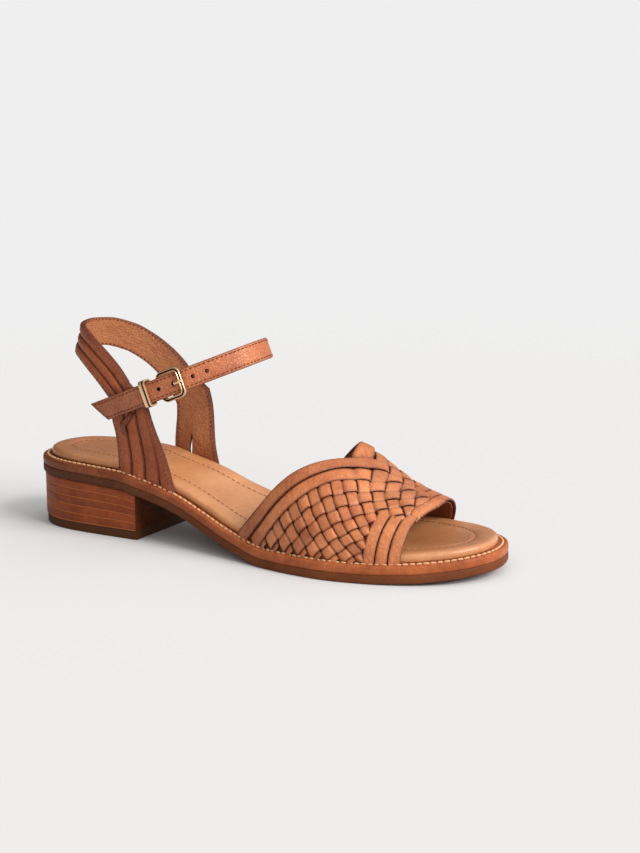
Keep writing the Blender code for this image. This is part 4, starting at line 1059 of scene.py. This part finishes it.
def build_quarter():
    outer, inner = 14, 13
    tones = RNG.uniform(0.2, 0.9, 5)
    rows = quarter_rows(44, 150)
    pts, wear_and_shade, tone = [], [], []
    for at, side, k in rows:
        cuts, height, out = quarter_outer(side, k)
        across, outs = [], []
        for i in range(4):
            for j in range(outer):
                u = j / outer if i < 3 else j / (outer - 1)
                across.append(lerp(cuts[i], cuts[i + 1], u))
                outs.append(out(i, u))
                # darker near the cuts between strips: burnished edges, with painted shade in the grooves
                near = min(u, 1.0 - u) * (cuts[i + 1] - cuts[i]) * 20.0
                wear_and_shade.append(height(i, u)[1] * min(1.0, max(0.0, 1.5 - near / 0.5)))
                tone.append(tones[i])
        pts.append(ankle_at(*at(np.array(across)), np.array(outs)))
        back = np.linspace(1.0, 0.0, inner)
        fold = 0.12 * np.sin(back * 19.0 + 2.0 * np.sin(len(pts) * 0.23)) * np.sin(np.pi * back)
        pts.append(ankle_at(*at(back), 0.15 + fold))
        wear_and_shade += list(np.where((back < 0.02) | (back > 0.98), 0.8, 0.0))
        tone += [0.7] * inner
    size = 4 * outer + inner
    faces = tube_faces(len(rows), size)
    lined = [int(len(f) == 4 and all(i % size >= 4 * outer for i in f)) for f in faces]
    ob = piece(
        "quarter_straps", np.concatenate(pts), faces, ["quarter", "lining"], "upper_leather",
        {"edge": wear_and_shade, "tone": tone}, lined, 65.0)
    middle = ANKLE_X * lerp(QUARTER_MEDIAL[0][1], QUARTER_MEDIAL[0][2], GROOVE_MEDIAL[0][0])
    foot = float(insole_under(middle))
    near = float(side_y(middle, 1)) - 4.0
    slit = ((-0.75, -2.0), (0.75, -2.0), (0.75, 6.5), (0.45, 10.5), (0.0, 13.0), (-0.45, 10.5), (-0.75, 6.5))
    cut_away(ob, [[(middle + x, y, foot + z) for x, z in slit] for y in (near, near + 14.0)])
    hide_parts("quarter")


def build_tuck():
    """A strip folded across two others under the ankle strap."""
    store = Parts()
    ts = np.linspace(0.0, 1.0, 26)
    # share across the leg, share of its height
    for knots in (
        ((0.60, 0.985), (0.52, 0.93), (0.40, 0.885), (0.27, 0.86)),
        ((0.30, 0.90), (0.28, 0.84), (0.27, 0.76), (0.27, 0.68)),
    ):
        run = np.column_stack([np.interp(ts, np.linspace(0.0, 1.0, 4), v) for v in np.array(knots).T])
        mid = np.array([leg_row(-1, float(height))(float(across)) for across, height in eased(run, 6)], float)
        tan = tangents(mid)

        def place(t, across, out, m=mid, d=tan):
            return ankle_at(m[:, :1] - d[:, 1:] * across, m[:, 1:] + d[:, :1] * across, out)
        rise = WALL + STRIP_RISE + 0.35 - 1.3 * (1.0 - np.clip(np.sin(np.pi * ts), 0.0, 1.0) ** 0.35)
        ribbon(store, place, ts, rise, 2.9, 0.9, 0.4)
    store.make("quarter_tuck", ["quarter"], "upper_leather", sharp=75.0)


build_quarter()
build_tuck()

# Ankle strap

STRAP_SIDE = {
    -1: ANKLE_HALF + WALL + STRIP_RISE + 2.0 * FIT_GAP + BILLET_THICK + STRAP_THICK / 2.0,
    1: ANKLE_HALF + WALL + STRIP_RISE + FIT_GAP + STRAP_THICK / 2.0,
}
TILT = math.radians(STRAP_TILT)
CROSS_SLOPE = math.tan(math.radians(STRAP_CROSS_TILT))
HALF_WIDTH = STRAP_WIDTH / 2.0
HALF_THICK = STRAP_THICK / 2.0
# bars of the frame: how far they stand along and out from the strap's middle
FRONT_BAR = BUCKLE_LENGTH / 2.0
FRONT_OUT = HALF_THICK + FIT_GAP + BAR_WIDTH / 2.0
BACK_OUT = -FRONT_OUT - 2.0 * FIT_GAP - BILLET_THICK
PRONG_HOLE_U = BUCKLE_U + 0.18 * BUCKLE_LENGTH
HOLES = (
    (PRONG_HOLE_U, PRONG_RADIUS + 0.8), (PRONG_HOLE_U - 1.4 * HOLE_PITCH, STRAP_HOLE / 2.0),
    (PRONG_HOLE_U + 1.5 * HOLE_PITCH, STRAP_HOLE / 2.0), (PRONG_HOLE_U + 2.55 * HOLE_PITCH, STRAP_HOLE / 2.0),
)


def strap_frame(u, side):
    """Middle line of the strap at u: point, direction and outward normal, seen along its width."""
    half = STRAP_SIDE[side]
    if u <= 0.0:
        return (u, side * half), (1.0, 0.0), (0.0, side * 1.0)
    s = min(u / STRAP_FRONT, 1.0)
    h = lerp(half, (STRAP_SIDE[-1] + STRAP_SIDE[1]) / 2.0, s)
    c = math.sqrt(max(1.0 - s * s, 0.0))
    m = math.hypot(s / STRAP_FRONT, c / h)
    n = (s / STRAP_FRONT / m, side * c / h / m)
    return (u, side * h * c), (abs(n[1]), -side * n[0]), n


def strap_flat(u, side, out, along=0.0):
    p, t, n = strap_frame(u, side)
    return p[0] + n[0] * out + t[0] * along, p[1] + n[1] * out + t[1] * along


def strap_place(u, y, across):
    x = STRAP_X + u * math.cos(TILT) - across * math.sin(TILT)
    z = SEAT + STRAP_HEIGHT + u * math.sin(TILT) + across * math.cos(TILT)
    return (x, y, z + (y + STRAP_SIDE[-1]) * CROSS_SLOPE)


def strap_at(u, side, out, across, along=0.0):
    return strap_place(*strap_flat(u, side, out, along), across)


def strap_stations(step):
    """(u, side) from the free tip round the front to the start."""
    turn = int(90.0 / step)
    bend = [STRAP_FRONT * math.sin(math.pi / 2.0 * i / turn) for i in range(turn + 1)]
    out = [(u, -1) for u in np.arange(-STRAP_TIP, 0.0, step)] + [(u, -1) for u in bend]
    out += [(u, 1) for u in bend[-2::-1]]
    return out + [(-u, 1) for u in np.arange(step, STRAP_START + 0.01, step)]


def tip_shift(u, side, across):
    """How far the slanted tip moves a point along."""
    if side > 0 or u >= 0.0:
        return 0.0
    return STRAP_TIP_CUT * (0.5 - across / STRAP_WIDTH) * min(1.0, -u / STRAP_TIP)


def strap_section():
    """Section of the strap: out, across, burnish. A stitched groove inside each edge."""
    outer = (
        (0.25, -1.0, 1.0), (0.62, -0.985, 0.9), (0.86, -0.94, 0.5), (0.93, -0.88, 0.15), (0.92, -0.8, 0.0),
        (0.8, -0.765, 0.25), (0.8, -0.725, 0.25), (0.93, -0.68, 0.0), (0.99, -0.5, 0.0), (1.0, -0.25, 0.0),
    )
    under = ((-0.25, 1.0, 1.0), (-0.8, 0.97, 0.8), (-1.0, 0.88, 0.1))
    rows = [*outer, (1.0, 0.0, 0.0), *((a, -b, c) for a, b, c in reversed(outer))]
    rows += [*under, (-1.0, 0.0, 0.0), *((a, -b, c) for a, b, c in reversed(under))]
    return [(a * HALF_THICK, b * HALF_WIDTH, c) for a, b, c in rows]


def hole_ring(u, radius, out, count=28):
    turns = [2.0 * math.pi * j / count for j in range(count)]
    return [strap_at(u, -1, out, radius * math.sin(a), radius * math.cos(a)) for a in turns]


def build_strap():
    section = strap_section()
    stations = strap_stations(0.8)
    pts, wear_and_shade, tone = [], [], []
    for u, side in stations:
        # painted shade: the outer side of the strap darker towards its free tip
        tone += [0.6 - (side < 0) * min(max((24.0 - u) / 30.0, 0.0), 1.0)] * len(section)
        near = max(0.0, 1.0 - (STRAP_TIP + u) / 1.2) if side < 0 and u < 0.0 else 0.0
        thin = 1.0 - 0.25 * near
        for out, across, burn in section:
            pts.append(strap_at(u + tip_shift(u, side, across), side, out * thin, across))
            wear_and_shade.append(max(burn, 0.9 * near))
    faces = tube_faces(len(stations), len(section))
    attrs = {"edge": wear_and_shade, "tone": tone}
    ob = piece("ankle_strap_body", pts, faces, ["strap"], "strap_leather", attrs, sharp=70.0)
    cut_away(ob, *([hole_ring(u, radius, out) for out in (-4.0, 4.0)] for u, radius in HOLES))
    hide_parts("ankle_strap")
    # dark rings inside the holes: painted shade, hiding the lit leather seen through them
    hole_shade_rings = Parts()
    # shares of the hole's radius and of half the strap's thickness
    lip = ((1.03, -0.85), (0.42, -0.8), (0.42, -0.45), (1.03, -0.35))
    for u, radius in HOLES[1:]:
        rings = np.array([hole_ring(u, radius * wide, out * HALF_THICK) for wide, out in lip])
        hole_shade_rings.add(rings.transpose(1, 0, 2), tube_faces(rings.shape[1], len(lip), True), edge=1.0, tone=0.0)
    hole_shade_rings.make("strap_hole_shade_rings", ["cut"], "strap_leather")


def build_billet():
    """The short strap under the other, from behind the ankle to its turn round the back bar."""
    h = BILLET_THICK / 2.0
    w = HALF_WIDTH - BILLET_MARGIN
    last = BUCKLE_U - FRONT_BAR - 3.0
    path = [strap_flat(lerp(-13.0, last, i / 39.0), -1, -HALF_THICK - FIT_GAP - h) for i in range(40)]
    r = BAR_WIDTH / 2.0 + FIT_GAP + h
    for i in range(24):
        a = math.radians(lerp(100.0, -120.0, i / 23.0))
        path.append(strap_flat(BUCKLE_U, -1, BACK_OUT + r * math.sin(a), -FRONT_BAR + r * math.cos(a)))
    path = np.array(path)
    section = rounded(16, w, h, 0.35)
    pts, wear_and_shade = [], []
    for point, tan in zip(path, tangents(path)):
        for across, out in section:
            pts.append(strap_place(*(point + np.array((tan[1], -tan[0])) * out), across))
            wear_and_shade.append(0.8 if abs(across) > w * 0.93 else 0.0)
    attrs = {"edge": wear_and_shade, "tone": np.full(len(pts), 0.4)}
    faces = tube_faces(len(path), len(section))
    piece("billet_body", pts, faces, ["strap"], "strap_leather", attrs, stands_for=("billet",))


build_strap()
build_billet()

# Metal


def round_rect(half_a, half_b, radius, steps):
    """Rectangle with round corners: point and outward normal."""
    out = []
    for i, (a, b) in enumerate(((1.0, 1.0), (-1.0, 1.0), (-1.0, -1.0), (1.0, -1.0))):
        for k in range(steps + 1):
            turn = math.pi * (0.5 * i + 0.5 * k / steps)
            c, s = math.cos(turn), math.sin(turn)
            out.append((a * (half_a - radius) + radius * c, b * (half_b - radius) + radius * s, c, s))
    return out


def metal_ring(name, pts, loops, size, channel, sharp, stands_for):
    """A closed ring of metal whose channel, between two points of its section, is shaded."""
    faces = tube_faces(loops, size, True)
    shaded = [int(all(channel[0] <= i % size <= channel[1] for i in f)) for f in faces]
    piece(name, pts, faces, ["metal", "channel"], "buckle_metal", None, shaded, sharp, (stands_for,))


def build_frame():
    # away from the frame's middle line, and out; its outer face has a channel
    section = (
        (-0.75, -0.55), (-0.62, -0.75), (0.5, -0.85), (0.98, -0.75), (1.1, -0.3), (1.1, 0.9), (1.02, 1.3),
        (0.76, 1.44), (0.54, 1.3), (0.46, 0.6), (-0.12, 0.6), (-0.2, 1.45), (-0.36, 1.68), (-0.62, 1.68),
        (-0.78, 1.4), (-0.78, 0.9),
    )
    loop = round_rect(FRONT_BAR, HALF_WIDTH + BUCKLE_SLACK + BAR_WIDTH / 2.0, 2.6, 12)
    pts = []
    for a, b, na, nb in loop:
        lean = lerp(BACK_OUT, FRONT_OUT, (a + FRONT_BAR) / BUCKLE_LENGTH)
        pts += [strap_at(BUCKLE_U, -1, lean + high, b + nb * wide, a + na * wide) for wide, high in section]
    metal_ring("buckle_frame_body", pts, len(loop), len(section), (8, 11), 60.0, "buckle_frame")


def build_prong():
    hole = PRONG_HOLE_U - BUCKLE_U
    top = FRONT_OUT + 1.7 + PRONG_RADIUS
    low = -HALF_THICK - FIT_GAP - PRONG_RADIUS
    ring = BAR_WIDTH / 2.0 + FIT_GAP + PRONG_RADIUS
    path = []
    for i in range(17):
        a = math.radians(lerp(115.0, 380.0, i / 16.0))
        path.append((-FRONT_BAR + ring * math.cos(a), BACK_OUT + ring * math.sin(a)))
    path += [
        (lerp(path[-1][0], hole - 2.0, 0.6), low - 0.35), (hole - 1.7, low - 0.1), (hole - 0.75, low + 0.35),
        (hole - 0.2, -0.4 * STRAP_THICK), (hole + 0.2, 0.4 * STRAP_THICK), (hole + 0.7, FRONT_OUT),
        (hole + 1.6, top - 0.35), (FRONT_BAR - 0.6, top), (FRONT_BAR + 0.75, top),
    ]
    path = np.array(path)
    # smoother run through the same points
    dist = np.concatenate(([0.0], np.cumsum(np.linalg.norm(np.diff(path, axis=0), axis=1))))
    fine = np.linspace(0.0, dist[-1], 90)
    path = eased(np.column_stack([np.interp(fine, dist, v) for v in path.T]), 4)
    tan = tangents(path)
    size = 14
    pts = []
    for k in range(len(path)):
        end = min(k, len(path) - 1 - k)
        r = PRONG_RADIUS * min(1.0, 0.55 + 0.15 * end) * (1.0 + 0.35 * smooth_step((k - 60.0) / 15.0))
        for i in range(size):
            a = 2.0 * math.pi * i / size
            along = path[k][0] - tan[k][1] * r * math.cos(a)
            out = path[k][1] + tan[k][0] * r * math.cos(a)
            pts.append(strap_at(BUCKLE_U, -1, out, r * math.sin(a), along))
    faces = tube_faces(len(path), size)
    piece("buckle_prong_body", pts, faces, ["metal"], "buckle_metal", stands_for=("buckle_prong",))


def build_keeper():
    # share of its width along the strap, and outwards; it has a channel between two rims
    section = (
        (-0.5, -0.35), (0.5, -0.35), (0.53, 0.30), (0.50, 0.62), (0.40, 0.72), (0.27, 0.62), (0.21, 0.22),
        (0.03, 0.22), (-0.04, 0.58), (-0.16, 0.68), (-0.40, 0.68), (-0.50, 0.56), (-0.53, 0.30),
    )
    low = -HALF_THICK - 2.0 * FIT_GAP - BILLET_THICK
    high = HALF_THICK + FIT_GAP
    loop = round_rect((high - low) / 2.0 + 0.35, HALF_WIDTH + BUCKLE_SLACK + 0.35, 1.0, 8)
    pts = []
    for a, b, na, nb in loop:
        for along, deep in section:
            out = (low + high) / 2.0 + a + na * deep
            pts.append(strap_at(KEEPER_U, -1, out, b + nb * deep, along * KEEPER_WIDTH))
    metal_ring("keeper_body", pts, len(loop), len(section), (5, 8), 35.0, "keeper")


build_frame()
build_prong()
build_keeper()

# Stitches


def stitch_tree():
    """Lays capsules of thread along a path."""
    tree, given, result = group(
        "GeometryNodeTree", "stitch_row",
        (("Geometry", "Geometry"), ("Pitch", "Float", 0.003), ("Length", "Float", 0.0022),
         ("Thickness", "Float", 0.0007), ("Thread", "Material")),
        (("Geometry", "Geometry"),),
    )
    curve = node(tree, "GeometryNodeMeshToCurve", {0: given["Geometry"]}).outputs[0]
    row = node(tree, "GeometryNodeCurveToPoints", {0: curve, "Length": given["Pitch"]}, mode="LENGTH").outputs
    ball = node(tree, "GeometryNodeMeshUVSphere", {"Segments": 8, "Rings": 6, "Radius": 0.5})
    uneven = node(tree, "FunctionNodeRandomValue", {2: 0.88, 3: 1.1, "Seed": 3}, data_type="FLOAT")
    long = calc(tree, "MULTIPLY", given["Length"], uneven.outputs[1])
    size = node(tree, "ShaderNodeCombineXYZ", {0: given["Thickness"], 1: given["Thickness"], 2: long})
    laid = node(tree, "GeometryNodeInstanceOnPoints", {
        "Points": row["Points"], "Rotation": row["Rotation"], "Instance": ball.outputs["Mesh"],
        "Scale": size.outputs[0],
    }).outputs[0]
    real = node(tree, "GeometryNodeRealizeInstances", {0: laid}).outputs[0]
    dyed = node(tree, "GeometryNodeSetMaterial", {0: real, "Material": given["Thread"]}).outputs[0]
    feed(tree, result, {0: node(tree, "GeometryNodeSetShadeSmooth", {0: dyed}).outputs[0]})
    return tree


STITCH = stitch_tree()


def stitches(name, paths, pitch, length, thick, thread):
    """Rows of stitches along lists of points; pitch, length and thickness in millimetres."""
    edges = []
    start = 0
    for path in paths:
        edges += [(start + i, start + i + 1) for i in range(len(path) - 1)]
        start += len(path)
    ob = new_object(name, new_mesh(name, np.concatenate(paths), edges, []))
    mod = ob.modifiers.new("stitch_row", "NODES")
    mod.node_group = STITCH
    values = {"Pitch": pitch * MM, "Length": length * MM, "Thickness": thick * MM, "Thread": M[thread]}
    for item in STITCH.interface.items_tree:
        if item.in_out == "INPUT" and item.name in values:
            mod[item.identifier] = values[item.name]
    bake(ob)
    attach(ob, "root")


def outline_path(inset, height):
    """A line round the sole, moved in by inset."""
    qs = np.linspace(0.0, 1.0, 200)
    halves = []
    for side, run in ((-1, qs), (1, qs[::-1])):
        x, y = edge_in(run, side, inset)
        halves.append(np.column_stack((x, y, height(x))))
    return np.concatenate(halves)


def strap_stitch_paths():
    seam = 0.745 * HALF_WIDTH
    paths = []
    for across in (-seam, seam):
        path = []
        for u, side in strap_stations(1.0):
            if side > 0 or u >= -STRAP_TIP + 1.4:
                path.append(strap_at(u + tip_shift(u, side, across), side, HALF_THICK * 0.86, across))
        paths.append(path)
    tip = []
    for i in range(12):
        across = lerp(-seam, seam, i / 11.0)
        slant = STRAP_TIP_CUT * (0.5 - across / STRAP_WIDTH) * 0.94
        tip.append(strap_at(-STRAP_TIP + 1.5 + slant, -1, HALF_THICK * 0.95, across))
    return paths + [tip]


def quarter_stitch_paths():
    paths = []
    for c, outside in ((0.06, False), (0.94, False), (0.055, True), (0.945, True)):
        path = []
        for at, side, k in quarter_rows(30, 120):
            level = 0.05
            if outside:
                cuts, height, out = quarter_outer(side, k)
                i = max(n for n in range(4) if cuts[n] <= c)
                level = out(i, (c - cuts[i]) / (cuts[i + 1] - cuts[i])) - 0.02
            path.append(ankle_at(*at(np.array([c])), np.array([level]))[0])
        paths.append(path)
    return paths


WELT_PATH = outline_path(2.6, raised(welt_top, 0.08))
INSOLE_PATH = outline_path(INSOLE_INSET + 10.0, raised(insole_under, 3.46))
stitches("welt_stitches", [WELT_PATH], 3.1, 2.9, 1.2, "cream")
stitches("insole_stitches", [INSOLE_PATH], 3.1, 2.2, 0.7, "tan")
stitches("strap_stitches", strap_stitch_paths(), 2.2, 1.35, 0.62, "brown")
stitches("quarter_stitches", quarter_stitch_paths(), 2.2, 1.4, 0.55, "brown")

# Camera, fitted to the photograph

PHOTO_WIDTH = 640
PHOTO_HEIGHT = 853
FOCAL_PIXELS = 1613.57
SHIFT_PIXELS = 0.8
SENSOR = 36.0
RIGHT = Vector((0.87409264, 0.48574879, -0.00318961)).normalized()
UP = Vector((-0.09096996, 0.17014114, 0.98121173)).normalized()
BACK = RIGHT.cross(UP).normalized()
PLACE = Vector((0.480150, -0.648585, 0.205326))

lens = bpy.data.cameras.new("camera")
lens.sensor_fit = "AUTO"
lens.sensor_width = SENSOR
lens.lens = FOCAL_PIXELS / PHOTO_HEIGHT * SENSOR
lens.shift_y = SHIFT_PIXELS / PHOTO_HEIGHT
lens.clip_start = 0.01
lens.clip_end = 100.0
camera = new_object("camera", lens)
camera.matrix_world = Matrix((
    (RIGHT.x, UP.x, BACK.x, PLACE.x), (RIGHT.y, UP.y, BACK.y, PLACE.y),
    (RIGHT.z, UP.z, BACK.z, PLACE.z), (0.0, 0.0, 0.0, 1.0),
))
scene.camera = camera
scene.render.resolution_x = PHOTO_WIDTH
scene.render.resolution_y = PHOTO_HEIGHT

# Floor and light

PALE = (0.863, 0.863, 0.863, 1.0)
FLOOR_GREY = (0.675, 0.68, 0.685, 1.0)
FLOOR_HALF = 30.0


def build_floor():
    corners = [(a * FLOOR_HALF, b * FLOOR_HALF, 0.0) for a, b in ((-1, -1), (1, -1), (1, 1), (-1, 1))]
    mesh = bpy.data.meshes.new("floor")
    mesh.from_pydata(corners, [], [(0, 1, 2, 3)])
    mat, tree, surface, where = new_material("floor_white")
    feed(tree, surface, {"Base Color": FLOOR_GREY, "Roughness": 0.9, "Specular IOR Level": 0.0})
    # far off it takes on the background's colour, as a studio sweep does
    away = node(tree, "ShaderNodeVectorMath", {0: where}, operation="LENGTH").outputs["Value"]
    glow = node(tree, "ShaderNodeEmission", {"Color": PALE}).outputs[0]
    sweep = {0: span(tree, away, 0.25, 1.1, smooth=True), 1: surface.outputs[0], 2: glow}
    blend = node(tree, "ShaderNodeMixShader", sweep).outputs[0]
    feed(tree, tree.nodes["Material Output"], {"Surface": blend})
    mesh.materials.append(mat)
    new_object("floor", mesh)


def build_studio():
    world = bpy.data.worlds.new("studio")
    scene.world = world
    world.use_nodes = True
    tree = world.node_tree
    tree.nodes.clear()
    # the studio is brighter towards the toe's outer side
    where = node(tree, "ShaderNodeTexCoord").outputs["Generated"]
    towards = {0: where, 1: Vector((0.86, -0.10, 0.50)).normalized()}
    lean = node(tree, "ShaderNodeVectorMath", towards, operation="DOT_PRODUCT").outputs["Value"]
    level = span(tree, lean, -0.7, 0.9, smooth=True, to_min=0.05, to_max=1.15)
    seen = node(tree, "ShaderNodeBackground", {"Color": PALE}).outputs[0]
    lit = node(tree, "ShaderNodeBackground", {"Color": (1.0, 0.985, 0.97, 1.0), "Strength": level}).outputs[0]
    ray = node(tree, "ShaderNodeLightPath").outputs["Is Camera Ray"]
    pick = node(tree, "ShaderNodeMixShader", {0: ray, 1: lit, 2: seen}).outputs[0]
    node(tree, "ShaderNodeOutputWorld", {"Surface": pick})


def build_sun():
    light = bpy.data.lights.new("key", "SUN")
    light.energy = 2.75
    light.angle = math.radians(30.0)
    light.color = (1.0, 0.98, 0.95)
    ob = new_object("key", light)
    ob.rotation_euler = Vector((0.92, -0.10, 0.64)).to_track_quat("Z", "Y").to_euler()


build_floor()
build_studio()
build_sun()
scene.view_settings.view_transform = "Standard"
scene.view_settings.look = "None"
